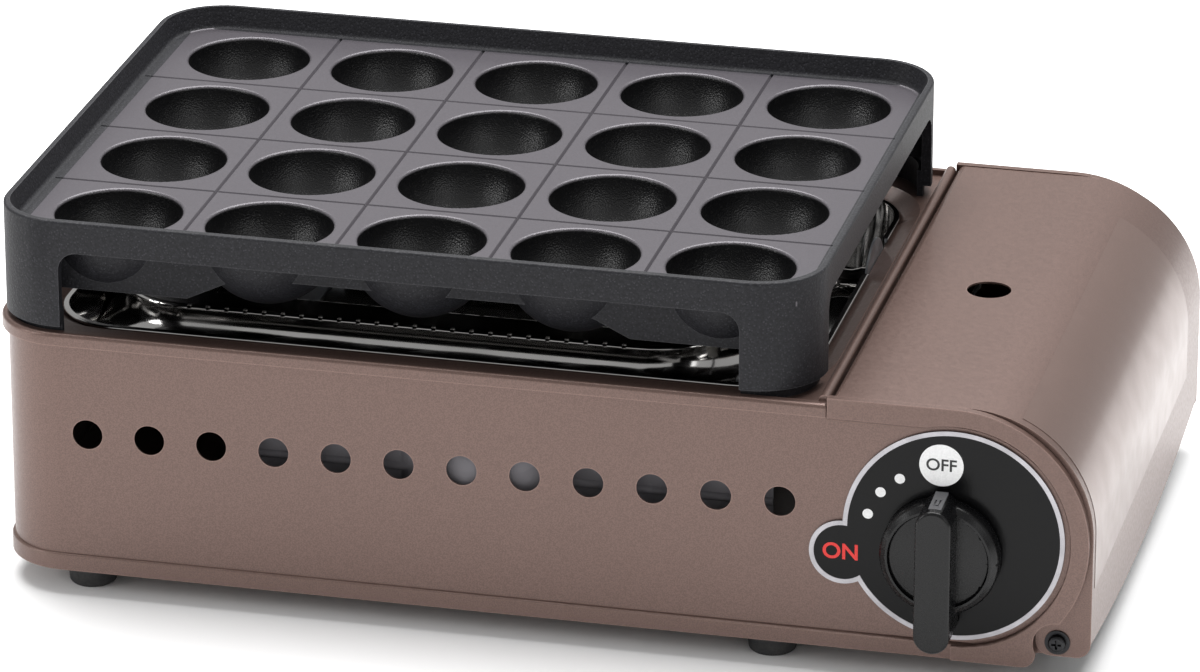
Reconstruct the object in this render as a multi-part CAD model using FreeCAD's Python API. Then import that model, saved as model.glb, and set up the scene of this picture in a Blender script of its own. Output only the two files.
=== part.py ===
import FreeCAD, Part
import math
import os

# Takoyaki maker: a low sheet-steel gas cooker with a lift-off cast plate of twenty round cups.
# The burner and the plate are on the left and the canister bay, under a curved cover, on the right.
# Every length is in millimetres. +X is the long way to the right, the front faces -Y and +Z is up.
# Sizes are written about the middle of the body's depth. ORIGIN_Y then moves the whole object, so
# that the origin is under the middle of its overall box, which the knob makes longer at the front.

V = FreeCAD.Vector
AXIS_X = V(1, 0, 0)
AXIS_Y = V(0, 1, 0)
AXIS_Z = V(0, 0, 1)

# Body shell
SHEET = 0.7
BODY_LEFT = -202.0
BODY_HALF_DEPTH = 119.5
BODY_BOTTOM = 10.0
BODY_TOP = 101.5
BODY_CORNER = 24.0
BOTTOM_BEAD = 1.1
BOTTOM_BEAD_HEIGHT = 6.5
BEAD_REACH = 2.3
BEAD_BOTTOM = 99.3
BEAD_TOP = 104.2

# Round right ends of the front and rear panels, and the dial that is concentric with the front one
END_X = 155.4
END_Z = 57.8
END_RADIUS = 49.1
BORDER_RADIUS = 42.2
BORDER_FOOT = 98.7
BORDER_WALL = 1.5
PANEL_FOOT_X = 186.0
PIVOT_X = 193.5
PIVOT_Z = 19.7
NOTCH_RADIUS = 8.4
DIAL_RADIUS = 40.2
DIAL_BORDER = 1.7
LOBE_X = 115.3
LOBE_Z = 47.5
LOBE_RADIUS = 12.2
DIAL_THICK = 0.8

# Row of round vents
VENT_COUNT = 12
VENT_FIRST_X = -166.4
VENT_PITCH = 23.5
VENT_Z = 64.5
VENT_RADIUS = 5.7

# Top frame around the burner
FRAME_RIGHT = 109.2
OPEN_LEFT = -187.0
OPEN_RIGHT = 95.0
OPEN_HALF_DEPTH = 99.5
OPEN_CORNER = 26.0
OPEN_Z = 97.5
LEDGE_Z = 102.0
LEDGE_WIDTH = 8.5
RIDGE_X = 107.4
RIDGE_RADIUS = 1.9
RIDGE_TOP = 106.4

# Cast plate
PLATE_CENTRE_X = -49.2
PLATE_HALF_X = 153.2
PLATE_HALF_Y = 120.6
PLATE_CORNER = 25.0
PLATE_TOP = 147.5
PLATE_DECK = 139.0
PLATE_SKIN = 3.5
PLATE_WALL = 3.8
PLATE_FOOT = 106.4
RIM_TOP = 2.4
RIM_FOOT = 4.2
LEG_X = 27.0
LEG_Y = 26.0
WINDOW_TOP = 135.5
WINDOW_CORNER = 7.0
CUP_COLUMNS = 5
CUP_ROWS = 4
CUP_PITCH_X = 57.3
CUP_PITCH_Y = 56.6
CUP_GRID_X = -48.6
CUP_RADIUS = 23.4
CUP_LIP = 1.2
CUP_NECK = 0.6
WEB_Y = 104.5
WEB_THICK = 3.2
WEB_DEEP_Z = 115.4
WEB_SHALLOW_Z = 125.0
WEB_DEEP_REACH = 70.5
WEB_CHAMFER = 20.0
GROOVE_HALF = 0.9
GROOVE_DEPTH = 1.1
LIP_INSET = 3.0
LIP_THICK = 2.4

# Drip tray, burner and its feed
TRAY_REACH = 1.0
TRAY_LIP_Z = 99.8
TRAY_FLOOR = 70.0
TRAY_SHEET = 0.7
BURNER_LEFT = -182.0
BURNER_RIGHT = 60.0
BURNER_HALF_DEPTH = 59.5
BURNER_CORNER = 36.0
BURNER_WIDTH = 17.0
BURNER_BOTTOM = 80.0
BURNER_SPLIT = 91.0
BURNER_TOP = 94.0
BURNER_SKIRT = 10.5
PORT_PITCH = 7.2
PORT_WIDTH = 1.6
PORT_DEPTH = 1.5
TUBE_Y = 35.0
TUBE_Z = 88.0
TUBE_RADIUS = 6.5
TUBE_NECK = 4.9
FLANGE_X = 93.8
FLANGE_RADIUS = 18.0

# Gas pipe, spark lead and electrode
NOZZLE_X = 117.4
PIPE_RADIUS = 2.4
PIPE_BEND = 14.0
VALVE_TOP = 66.0
LEAD_X = 114.0
LEAD_Y = -48.0
LEAD_Z = 82.0
LEAD_RADIUS = 1.3
ELECTRODE_X = 66.0
ELECTRODE_Y = -50.0

# Partition, shield and base
PARTITION_X = 108.2
BULGE_RADIUS = 88.0
BULGE_REACH = 6.0
BASE_RIGHT = 181.0
FOOT_RADIUS = 9.4
FOOT_FLANGE = 11.8
FOOT_PLACES = ((-170.6, -104.3), (86.7, -104.3), (-170.6, 104.3), (86.7, 104.3))

# Canister bay
CANISTER_X = 156.0
CANISTER_Z = 58.0
CANISTER_RADIUS = 33.0
BULKHEAD_Y = -76.0
CRADLE_FRONT = -52.0
CRADLE_REAR = 96.0

# Cover of the canister bay
COVER_LEFT = 110.4
COVER_RIGHT = 205.5
COVER_TOP = 106.6
COVER_RADIUS = 46.0
COVER_HALF_DEPTH = 118.4
COVER_EDGE_MIDDLE = 12.0
COVER_EDGE_END = 20.0
COVER_FLANGE = 9.0
FINGER_X = 145.6
FINGER_Y = -5.5
FINGER_RADIUS = 8.2
LUG_LEFT = 185.6
LUG_BOTTOM = 14.2
SHOULDER_RADIUS = 2.6
RUNNING_GAP = 0.06

# Knob
KNOB_X = 151.5
KNOB_Z = 51.3
KNOB_RADIUS = 21.6
KNOB_BACK = -121.4
KNOB_SHOULDER = -126.6
KNOB_RIM = -128.9
KNOB_RIM_RADIUS = 19.2
KNOB_FACE_RADIUS = 17.9
GRIP_FRONT = -140.0
GRIP_HALF = 6.5
GRIP_UP = 23.4
GRIP_DOWN = 31.6
INDEX_HALF = 2.3
INDEX_FRONT = -136.4
INDEX_BACK = -122.4
STEM_RADIUS = 3.9

# The knob's front and the rear bead are the two ends of the overall depth, and the left bead and
# the cover's right wall are the two ends of the overall length.
ORIGIN_Y = -(GRIP_FRONT + BODY_HALF_DEPTH + BEAD_REACH) / 2
ORIGIN_X = -(BODY_LEFT - BEAD_REACH + COVER_RIGHT) / 2


def box(x0, x1, y0, y1, z0, z1):
    return Part.makeBox(x1 - x0, y1 - y0, z1 - z0, V(x0, y0, z0))


def rod(x, y, z, radius, length, axis):
    return Part.makeCylinder(radius, length, V(x, y, z), axis)


def join(shapes):
    """One solid from pieces that share material, without the seams between them."""
    result = shapes[0].fuse(list(shapes[1:])) if len(shapes) > 1 else shapes[0]
    return result.removeSplitter()


def rounded_wire(x0, x1, half_y, radius, z, right_radius=None):
    """Closed rounded rectangle about y = 0 at one height."""
    right = radius if right_radius is None else right_radius
    corners = ((x1, -half_y, right, -90), (x1, half_y, right, 0),
               (x0, half_y, radius, 90), (x0, -half_y, radius, 180))
    edges = []
    ends = []
    for x, y, r, start in corners:
        centre = V(x - math.copysign(r, x - (x0 + x1) / 2), y - math.copysign(r, y), z)
        angles = [math.radians(start + turn) for turn in (0, 45, 90)]
        points = [centre + V(math.cos(a), math.sin(a), 0) * r for a in angles]
        edges.append(Part.Arc(*points).toShape())
        ends.append((points[0], points[2]))
    for index in range(4):
        here = ends[index][1]
        following = ends[(index + 1) % 4][0]
        if here.distanceToPoint(following) > 1e-6:
            edges.append(Part.LineSegment(here, following).toShape())
    return Part.Wire(Part.sortEdges(edges)[0])


def slab(x0, x1, half_y, radius, z0, z1, right_radius=None):
    """Rounded rectangular block between two heights."""
    wire = rounded_wire(x0, x1, half_y, radius, z0, right_radius)
    return Part.Face(wire).extrude(V(0, 0, z1 - z0))


def funnel(x0, x1, half_y, radius, z0, spread, z1):
    """Block that widens by spread from z0 to z1."""
    low = rounded_wire(x0, x1, half_y, radius, z0)
    high = rounded_wire(x0 - spread, x1 + spread, half_y + spread, radius + spread, z1)
    return Part.makeLoft([low, high], True, True)


def polygon(points, direction):
    """Prism from a closed list of points, pushed along direction."""
    wire = Part.makePolygon(list(points) + [points[0]])
    return Part.Face(wire).extrude(direction)


def soften(shape, radius, wanted):
    """Round the edges that the wanted test picks, or leave the shape when they cannot be rounded."""
    edges = [edge for edge in shape.Edges if wanted(edge)]
    if not edges:
        return shape
    rounded = shape.makeFillet(radius, edges)
    return rounded if rounded.isValid() else shape


def level_edge(edge, z):
    """True for an edge that lies at one height."""
    bounds = edge.BoundBox
    return abs(bounds.ZMin - z) < 1e-4 and abs(bounds.ZMax - z) < 1e-4


def export(name, shape):
    moved = shape.copy()
    moved.translate(V(ORIGIN_X, ORIGIN_Y, 0))
    moved.exportStep(f"parts/{name}.step")


def group(solids):
    return Part.makeCompound(list(solids))


# Body


def end_outline(y0, depth, inset=0.0):
    """Flat region of a front or rear panel, with its round right end, as a prism along Y."""
    left = BODY_LEFT - 20
    low = BODY_BOTTOM + inset
    right = PANEL_FOOT_X - inset
    corner = 5.0
    bend = corner * (1 - math.sqrt(0.5))
    top = END_Z + END_RADIUS - inset
    step_x = FRAME_RIGHT + 0.05 + inset
    sole = V(right - corner, y0, low)
    foot = V(right, y0, low + corner)
    corners = [foot, V(right, y0, END_Z), V(END_X, y0, top), V(step_x, y0, top),
               V(step_x, y0, BODY_TOP), V(left, y0, BODY_TOP), V(left, y0, low), sole]
    edges = [Part.LineSegment(a, b).toShape() for a, b in zip(corners, corners[1:])]
    edges.append(Part.Arc(sole, V(right - bend, y0, low + bend), foot).toShape())
    flat = Part.Face(Part.Wire(edges)).extrude(V(0, depth, 0))
    end = rod(END_X, y0, END_Z, END_RADIUS - inset, depth, AXIS_Y)
    notch = rod(PIVOT_X, y0, PIVOT_Z, NOTCH_RADIUS + inset, depth, AXIS_Y)
    return flat.fuse(end).removeSplitter().cut(notch)


def border_region(y0, depth, inset):
    """Raised border of a panel: along the top beside the cover, then round the right end."""
    straight = box(FRAME_RIGHT, END_X, y0, y0 + depth, BORDER_FOOT + inset, END_Z + END_RADIUS)
    around = box(END_X, END_X + 2 * END_RADIUS, y0, y0 + depth, BODY_BOTTOM, END_Z + END_RADIUS)
    region = end_outline(y0, depth, inset).common(straight.fuse(around).removeSplitter())
    return region.cut(rod(END_X, y0, END_Z, BORDER_RADIUS + inset, depth, AXIS_Y))


def raised_border(y_face, outward):
    """The border with its rounded outer edge and its small inner step."""
    y0 = min(y_face, y_face + BEAD_REACH * outward)
    front = y_face + BEAD_REACH * outward
    border = border_region(y0, BEAD_REACH, 0.0)

    def on_front(edge):
        bounds = edge.BoundBox
        return abs(bounds.YMin - front) < 1e-3 and abs(bounds.YMax - front) < 1e-3

    def middle_reach(edge):
        middle = edge.valueAt((edge.FirstParameter + edge.LastParameter) / 2)
        return math.hypot(middle.x - END_X, middle.z - END_Z), middle

    def outer_edge(edge):
        reach, middle = middle_reach(edge)
        on_top = abs(middle.z - END_Z - END_RADIUS) < 1e-3
        return on_front(edge) and (on_top or abs(reach - END_RADIUS) < 1e-3)

    def inner_edge(edge):
        reach, middle = middle_reach(edge)
        return on_front(edge) and (abs(reach - BORDER_RADIUS) < 1e-3 or abs(middle.z - BORDER_FOOT) < 1e-3)

    return soften(soften(border, 2.0, outer_edge), 0.7, inner_edge)


def border_pocket(y_face, outward):
    """Hollow behind the raised border, which is pressed out of the panel's sheet."""
    inner = y_face - SHEET * outward
    y0 = min(inner, y_face + (BEAD_REACH - SHEET) * outward)
    return border_region(y0, BEAD_REACH, BORDER_WALL)


def vents(y0, depth):
    return [rod(VENT_FIRST_X + VENT_PITCH * i, y0, VENT_Z, VENT_RADIUS, depth, AXIS_Y)
            for i in range(VENT_COUNT)]


def body_shell():
    far = 300.0
    reach = BODY_HALF_DEPTH
    outer = slab(BODY_LEFT, far, reach, BODY_CORNER, BODY_BOTTOM, 120)
    inner = slab(BODY_LEFT + SHEET, far + 1, reach - SHEET, BODY_CORNER - SHEET, BODY_BOTTOM - 1, 121)
    wrap = outer.cut(inner)
    wrap = wrap.common(end_outline(-200, 400))
    foot_outer = slab(BODY_LEFT - BOTTOM_BEAD, far, reach + BOTTOM_BEAD, BODY_CORNER + BOTTOM_BEAD,
                      BODY_BOTTOM, BODY_BOTTOM + BOTTOM_BEAD_HEIGHT)
    foot_inner = slab(BODY_LEFT + SHEET, far + 1, reach - SHEET, BODY_CORNER - SHEET,
                      BODY_BOTTOM - 1, BODY_BOTTOM + BOTTOM_BEAD_HEIGHT + 1)
    foot_bead = foot_outer.cut(foot_inner).common(end_outline(-200, 400))
    foot_bead = soften(foot_bead, 0.9, lambda e: level_edge(e, BODY_BOTTOM + BOTTOM_BEAD_HEIGHT)
                       and (e.BoundBox.XMin < BODY_LEFT - 0.5 or abs(e.BoundBox.YMin) > reach + 0.5)
                       and e.Length > 20)
    shell = join([wrap, foot_bead, raised_border(-reach, -1), raised_border(reach, 1)])
    shell = shell.cut(group([border_pocket(-reach, -1), border_pocket(reach, 1)]))
    holes = vents(-reach - 5, 10) + vents(reach - 5, 10)
    holes.append(rod(KNOB_X, -reach - 5, KNOB_Z, STEM_RADIUS + 3, 10, AXIS_Y))
    return shell.cut(group(holes))


def top_frame():
    reach = BODY_HALF_DEPTH + BEAD_REACH
    left = BODY_LEFT - BEAD_REACH
    corner = BODY_CORNER + BEAD_REACH
    ledge_left = BODY_LEFT + 1.2
    ledge_half = BODY_HALF_DEPTH - 1.2
    ledge_corner = BODY_CORNER - 1.2
    bead = slab(left, FRAME_RIGHT, reach, corner, BEAD_BOTTOM, BEAD_TOP, 1.0)
    bead = bead.cut(slab(ledge_left, FRAME_RIGHT - 3, ledge_half, ledge_corner, BEAD_BOTTOM - 1, BEAD_TOP + 1, 0.5))
    bead = soften(bead, 1.6, lambda e: level_edge(e, BEAD_TOP) and e.BoundBox.XMin < FRAME_RIGHT - 4
                  and (e.BoundBox.XMin < left + 0.5 + corner or abs(e.BoundBox.YMax) > ledge_half + 1)
                  and (e.BoundBox.YMin < -ledge_half - 1 or e.BoundBox.YMax > ledge_half + 1
                       or e.BoundBox.XMin < ledge_left - 1))
    tuck = slab(BODY_LEFT - 0.05, FRAME_RIGHT + 5, BODY_HALF_DEPTH + 0.05, BODY_CORNER,
                BEAD_BOTTOM - 1, BODY_TOP, 0.5)
    bead = bead.cut(tuck)
    ledge = slab(BODY_LEFT + 0.6, FRAME_RIGHT - 1, BODY_HALF_DEPTH - 0.6, BODY_CORNER,
                 BODY_TOP, LEDGE_Z, 1.0)
    throat = (OPEN_LEFT, OPEN_RIGHT, OPEN_HALF_DEPTH, OPEN_CORNER)
    wide = 1.0
    neck = slab(throat[0], throat[1], throat[2], throat[3], 85, OPEN_Z)
    cone = funnel(throat[0], throat[1], throat[2], throat[3], OPEN_Z, LEDGE_WIDTH, LEDGE_Z)
    skirt_neck = slab(throat[0] - wide, throat[1] + wide, throat[2] + wide, throat[3] + wide,
                      90, OPEN_Z - wide)
    skirt_cone = funnel(throat[0] - wide, throat[1] + wide, throat[2] + wide, throat[3] + wide,
                        OPEN_Z - wide, LEDGE_WIDTH, LEDGE_Z - wide)
    collar = slab(throat[0] - wide - LEDGE_WIDTH, throat[1] + wide + LEDGE_WIDTH,
                  throat[2] + wide + LEDGE_WIDTH, throat[3] + wide + LEDGE_WIDTH, LEDGE_Z - wide, LEDGE_Z)
    sheet = join([skirt_neck, skirt_cone, collar, ledge]).cut(neck.fuse(cone))
    ridge = box(RIDGE_X - RIDGE_RADIUS, RIDGE_X + RIDGE_RADIUS, -BODY_HALF_DEPTH + 1.5,
                BODY_HALF_DEPTH - 1.5, BODY_TOP, RIDGE_TOP)
    ridge = soften(ridge, RIDGE_RADIUS - 0.1, lambda e: level_edge(e, RIDGE_TOP) and e.Length > 100)
    passage = box(OPEN_RIGHT - 1, OPEN_RIGHT + 3, TUBE_Y - TUBE_RADIUS - 1, TUBE_Y + TUBE_RADIUS + 1,
                  80, TUBE_Z + TUBE_RADIUS + 1)
    return join([sheet, bead, ridge]).cut(passage)


def bottom_plate():
    gap = 0.05
    left = BODY_LEFT + SHEET + gap
    half = BODY_HALF_DEPTH - SHEET - gap
    corner = BODY_CORNER - SHEET - gap
    rim = 9.0
    tray = slab(left, BASE_RIGHT, half, corner, BODY_BOTTOM, BODY_BOTTOM + rim, 3.0)
    inside = slab(left + SHEET, BASE_RIGHT + 20, half - SHEET, corner - SHEET, BODY_BOTTOM + SHEET,
                  BODY_BOTTOM + rim + 1, 3.0)
    plate = tray.cut(inside)
    ears = []
    for side in (-1, 1):
        y_out = side * (COVER_HALF_DEPTH - SHEET - 0.5)
        y_in = y_out - side * 1.6
        y0, y1 = sorted((y_in, y_out))
        ear = box(BASE_RIGHT - 12, PIVOT_X, y0, y1, BODY_BOTTOM, PIVOT_Z + 5.5)
        ear = ear.fuse(rod(PIVOT_X, y0, PIVOT_Z, 5.5, y1 - y0, AXIS_Y))
        ear = ear.cut(box(BASE_RIGHT - 12, PIVOT_X + 8, y0, y1, BODY_BOTTOM - 1, BODY_BOTTOM + 0.01))
        below = box(BASE_RIGHT, PIVOT_X, y0, y1, BODY_BOTTOM - 1, PIVOT_Z - 5.5)
        ears.append(ear.cut(below))
    plate = join([plate] + ears)
    cuts = [rod(PIVOT_X, -140, PIVOT_Z, SHOULDER_RADIUS - 0.6, 280, AXIS_Y)]
    for x, y in FOOT_PLACES:
        cuts.append(rod(x, y, BODY_BOTTOM - 1, 2.1, 4, AXIS_Z))
    return plate.cut(group(cuts))


def rubber_feet():
    feet = []
    for x, y in FOOT_PLACES:
        body = Part.makeCone(FOOT_RADIUS - 0.8, FOOT_RADIUS, 7.0, V(x, y, 0), AXIS_Z)
        flange = rod(x, y, 7.0, FOOT_FLANGE, BODY_BOTTOM - 7.0, AXIS_Z)
        foot = soften(join([body, flange]), 1.5, lambda e: level_edge(e, 0))
        recess = rod(x, y, -1, 4.2, 4.5, AXIS_Z)
        hole = rod(x, y, -1, 2.1, 14, AXIS_Z)
        feet.append(foot.cut(recess.fuse(hole)))
    return group(feet)


def pan_screw(x, y, z, axis, head_radius, head_height, shank_radius, shank_length):
    """Cross-recessed pan screw. The axis points from the head's seat out through the head."""
    head = rod(x, y, z, head_radius, head_height, axis)
    crown = [e for e in head.Edges if abs((e.BoundBox.Center - V(x, y, z)).dot(axis) - head_height) < 1e-3]
    head = head.makeFillet(head_height * 0.55, [e for e in crown if e.Closed])
    shank = rod(x, y, z, shank_radius, shank_length, axis * -1)
    screw = join([head, shank])
    side = V(0, 0, 1) if abs(axis.z) < 0.5 else V(1, 0, 0)
    other = axis.cross(side)
    start = V(x, y, z) + axis * (head_height * 0.35)
    for a, b in ((side, other), (other, side)):
        half_long = head_radius * 0.55
        half_thin = head_radius * 0.13
        corner = start - a * half_long - b * half_thin
        points = [corner, corner + a * half_long * 2, corner + a * half_long * 2 + b * half_thin * 2,
                  corner + b * half_thin * 2]
        screw = screw.cut(polygon(points, axis * head_height))
    return screw


def foot_screws():
    return group([pan_screw(x, y, 3.5, V(0, 0, -1), 3.6, 2.0, 2.0, 10.0) for x, y in FOOT_PLACES])


def partition_wall():
    """Painted wall between the burner side and the canister bay, with the feed tube's window."""
    y_half = BODY_HALF_DEPTH - SHEET - 0.9
    wall = box(PARTITION_X, PARTITION_X + SHEET, -y_half, y_half, BODY_BOTTOM + SHEET, BODY_TOP)
    foot = box(PARTITION_X, PARTITION_X + 10, -y_half, y_half, BODY_BOTTOM + SHEET,
               BODY_BOTTOM + 2 * SHEET)
    wall = join([wall, foot])
    holes = [rod(PARTITION_X - 2, TUBE_Y, TUBE_Z, 9.0, 5, AXIS_X)]
    holes.append(rod(PARTITION_X - 2, LEAD_Y, LEAD_Z, 3.0, 5, AXIS_X))
    return wall.cut(group(holes))


def inner_shield():
    """Bare galvanised wall behind the front vents, with one long bead and a bulged middle."""
    left, right = -106.0, 88.0
    y0 = -111.5
    low, high = BODY_BOTTOM + SHEET, 88.0
    wall = box(left, right, y0, y0 + SHEET, low, high)
    foot = box(left, right, y0, y0 + 12, low, low + SHEET)
    lip = box(left, right, y0, y0 + 9, high - SHEET, high)
    bead_z = VENT_Z - 4.0
    bead = rod(left, y0 + 0.6, bead_z, 1.7, right - left, AXIS_X)
    bead = bead.common(box(left, right, y0 - 3, y0 + SHEET, low, high))
    bulge_x = -18.0
    bulge_y = y0 + BULGE_RADIUS - BULGE_REACH
    bulge = rod(bulge_x, bulge_y, low + SHEET, BULGE_RADIUS, 60.0, AXIS_Z)
    bulge = bulge.common(box(left, right, y0 - 8, y0 + SHEET, low, high))
    hollow = rod(bulge_x, bulge_y, low + SHEET, BULGE_RADIUS - SHEET, 60.0 - SHEET, AXIS_Z)
    hollow = hollow.common(box(left, right, y0 - 8, y0 + SHEET + 1, low, high))
    shield = join([wall, foot, lip, bead, bulge]).cut(hollow)
    screws = [rod(x, y, low - 1, 2.1, 4, AXIS_Z) for x, y in FOOT_PLACES]
    return shield.cut(group(screws))


# Tray and burner


def drip_tray():
    left, right = OPEN_LEFT - TRAY_REACH, OPEN_RIGHT + TRAY_REACH
    half, corner = OPEN_HALF_DEPTH + TRAY_REACH, OPEN_CORNER + TRAY_REACH
    slope = 6.0
    t = TRAY_SHEET

    def basin(grow, floor):
        foot = rounded_wire(left + slope - grow, right - slope + grow, half - slope + grow,
                            corner + grow - slope, floor)
        brim = rounded_wire(left + 2.2 - grow, right - 2.2 + grow, half - 2.2 + grow,
                            corner - 2.2 + grow, TRAY_LIP_Z - 4)
        wall = slab(left + 2.2 - grow, right - 2.2 + grow, half - 2.2 + grow, corner - 2.2 + grow,
                    TRAY_LIP_Z - 4, TRAY_LIP_Z + 3)
        return Part.makeLoft([foot, brim], True, True), wall

    outer, outer_wall = basin(t, TRAY_FLOOR)
    inner, inner_wall = basin(0, TRAY_FLOOR + t)
    outer_wall = outer_wall.common(box(-300, 300, -200, 200, 0, TRAY_LIP_Z))
    lip = slab(left, right, half, corner, TRAY_LIP_Z - 1.6, TRAY_LIP_Z)
    lip = soften(lip, 0.75, lambda e: level_edge(e, TRAY_LIP_Z) or level_edge(e, TRAY_LIP_Z - 1.6))
    tray = join([outer, outer_wall, lip]).cut(inner).cut(inner_wall)
    notch = FLANGE_RADIUS + 0.4
    cuts = [box(OPEN_RIGHT - 22, OPEN_RIGHT + 3, TUBE_Y - notch, TUBE_Y + notch,
                TUBE_Z - TUBE_RADIUS - 0.6, TRAY_LIP_Z + 2)]
    cuts.append(box(OPEN_RIGHT - 22, OPEN_RIGHT + 3, LEAD_Y - 2.2, LEAD_Y + 2.2,
                    LEAD_Z - 2.2, LEAD_Z + 2.2))
    return tray.cut(group(cuts))


def burner_ring(z0, z1):
    outer = slab(BURNER_LEFT, BURNER_RIGHT, BURNER_HALF_DEPTH, BURNER_CORNER, z0, z1)
    inner = slab(BURNER_LEFT + BURNER_WIDTH, BURNER_RIGHT - BURNER_WIDTH,
                 BURNER_HALF_DEPTH - BURNER_WIDTH, BURNER_CORNER - BURNER_WIDTH, z0 - 1, z1 + 1)
    return outer.cut(inner)


def burner_hollow(z0, z1):
    t = 1.0
    outer = slab(BURNER_LEFT + t, BURNER_RIGHT - t, BURNER_HALF_DEPTH - t, BURNER_CORNER - t, z0, z1)
    inner = slab(BURNER_LEFT + BURNER_WIDTH - t, BURNER_RIGHT - BURNER_WIDTH + t,
                 BURNER_HALF_DEPTH - BURNER_WIDTH + t, BURNER_CORNER - BURNER_WIDTH + t, z0 - 1, z1 + 1)
    return outer.cut(inner)


def burner_base():
    """Lower pressed half: a channel whose outer wall sweeps out into a broad skirt."""
    ring = burner_ring(BURNER_BOTTOM, BURNER_SPLIT)
    left, right = BURNER_LEFT - BURNER_SKIRT, BURNER_RIGHT + BURNER_SKIRT
    plate = slab(left, right, BURNER_HALF_DEPTH + BURNER_SKIRT, BURNER_CORNER + BURNER_SKIRT,
                 BURNER_BOTTOM, BURNER_BOTTOM + 1)
    plate = plate.cut(slab(BURNER_LEFT + 5, BURNER_RIGHT - 5, BURNER_HALF_DEPTH - 5, BURNER_CORNER - 5,
                           BURNER_BOTTOM - 1, BURNER_BOTTOM + 2))
    ring = join([ring, plate])
    ring = soften(ring, BURNER_SKIRT - 0.6, lambda e: level_edge(e, BURNER_BOTTOM + 1)
                  and e.BoundBox.XMin > BURNER_LEFT - 0.1 and e.BoundBox.XMax < BURNER_RIGHT + 0.1
                  and e.BoundBox.YMin > -BURNER_HALF_DEPTH - 0.1 and e.BoundBox.YMax < BURNER_HALF_DEPTH + 0.1)
    clear_of_tray = box(BURNER_LEFT - 0.7, BURNER_RIGHT + 20, -OPEN_HALF_DEPTH, OPEN_HALF_DEPTH,
                        BURNER_BOTTOM, BURNER_SPLIT)
    ring = ring.common(clear_of_tray).cut(burner_hollow(BURNER_BOTTOM + 1, BURNER_SPLIT + 1))
    mouth = rod(BURNER_RIGHT - BURNER_WIDTH / 2, TUBE_Y, TUBE_Z, TUBE_NECK, BURNER_WIDTH, AXIS_X)
    passage = rod(BURNER_RIGHT + 3.4, TUBE_Y, TUBE_Z, TUBE_RADIUS + 0.3, BURNER_SKIRT, AXIS_X)
    notch = box(BURNER_RIGHT + 0.2, BURNER_RIGHT + BURNER_SKIRT + 1, ELECTRODE_Y - 6.4, ELECTRODE_Y + 6.4,
                BURNER_BOTTOM - 1, BURNER_SPLIT + 1)
    return ring.cut(group([mouth, passage])).cut(notch)


def burner_ports():
    """Narrow slots across the outer and inner shoulders of the burner's top."""
    slots = []
    low, high = BURNER_TOP - PORT_DEPTH, BURNER_TOP + 1
    bite = 2.0
    for side in (-1, 1):
        outer_y = side * BURNER_HALF_DEPTH
        for i in range(int((BURNER_RIGHT - BURNER_LEFT - 2 * BURNER_CORNER) / PORT_PITCH) + 1):
            x = BURNER_LEFT + BURNER_CORNER + PORT_PITCH * i
            for y in (outer_y, outer_y - side * BURNER_WIDTH):
                slots.append(box(x, x + PORT_WIDTH, y - bite, y + bite, low, high))
        outer_x = BURNER_LEFT if side < 0 else BURNER_RIGHT
        for i in range(int(2 * (BURNER_HALF_DEPTH - BURNER_CORNER) / PORT_PITCH) + 1):
            y = BURNER_CORNER - BURNER_HALF_DEPTH + PORT_PITCH * i
            for x in (outer_x, outer_x - side * BURNER_WIDTH):
                slots.append(box(x - bite, x + bite, y, y + PORT_WIDTH, low, high))
    return group(slots)


def burner_cap():
    """Upper pressed half, with the ports round its shoulders."""
    ring = burner_ring(BURNER_SPLIT, BURNER_TOP)
    ring = soften(ring, 1.6, lambda e: level_edge(e, BURNER_TOP))
    ring = ring.cut(burner_hollow(BURNER_SPLIT - 1, BURNER_TOP - 1))
    mouth = rod(BURNER_RIGHT - BURNER_WIDTH / 2, TUBE_Y, TUBE_Z, TUBE_NECK, BURNER_WIDTH, AXIS_X)
    return ring.cut(burner_ports()).cut(mouth)


def burner_stands():
    """Two bridges that carry the burner on the tray's floor."""
    stands = []
    floor = TRAY_FLOOR + TRAY_SHEET
    for x in (BURNER_LEFT + 60, BURNER_RIGHT - 60):
        parts = []
        for side in (-1, 1):
            y_mid = side * (BURNER_HALF_DEPTH - BURNER_WIDTH / 2)
            parts.append(box(x - 7, x + 7, y_mid - 6, y_mid + 6, BURNER_BOTTOM - 1, BURNER_BOTTOM))
            y0, y1 = sorted((y_mid - side * 6, y_mid - side * 5))
            parts.append(box(x - 7, x + 7, y0, y1, floor, BURNER_BOTTOM))
        parts.append(box(x - 7, x + 7, -BURNER_HALF_DEPTH + BURNER_WIDTH / 2 + 5,
                         BURNER_HALF_DEPTH - BURNER_WIDTH / 2 - 5, floor, floor + 1))
        stands.append(join(parts))
    return group(stands)


def mixing_tube():
    """Venturi tube from the jet in the bay to the ring burner, with a waist and an air window."""
    start = BURNER_RIGHT - 1.5
    end = PARTITION_X + 8
    waist = TUBE_RADIUS - 1.2
    profile = [(start, TUBE_NECK - 0.05), (start + 5, TUBE_NECK - 0.05), (start + 11, TUBE_RADIUS),
               (start + 19, TUBE_RADIUS), (start + 23, waist), (start + 27, waist),
               (start + 31, TUBE_RADIUS), (end, TUBE_RADIUS)]
    wall = 0.8

    def turned(offset):
        points = [V(x, TUBE_Y + r - offset, TUBE_Z) for x, r in profile]
        ring = [V(start, TUBE_Y, TUBE_Z)] + points + [V(end, TUBE_Y, TUBE_Z)]
        face = Part.Face(Part.makePolygon(ring + [ring[0]]))
        return face.revolve(V(start, TUBE_Y, TUBE_Z), AXIS_X, 360)

    tube = turned(0).cut(turned(wall))
    window = box(end - 7, end - 2, TUBE_Y - 3, TUBE_Y + 3, TUBE_Z - 12, TUBE_Z)
    return tube.cut(window)


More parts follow.
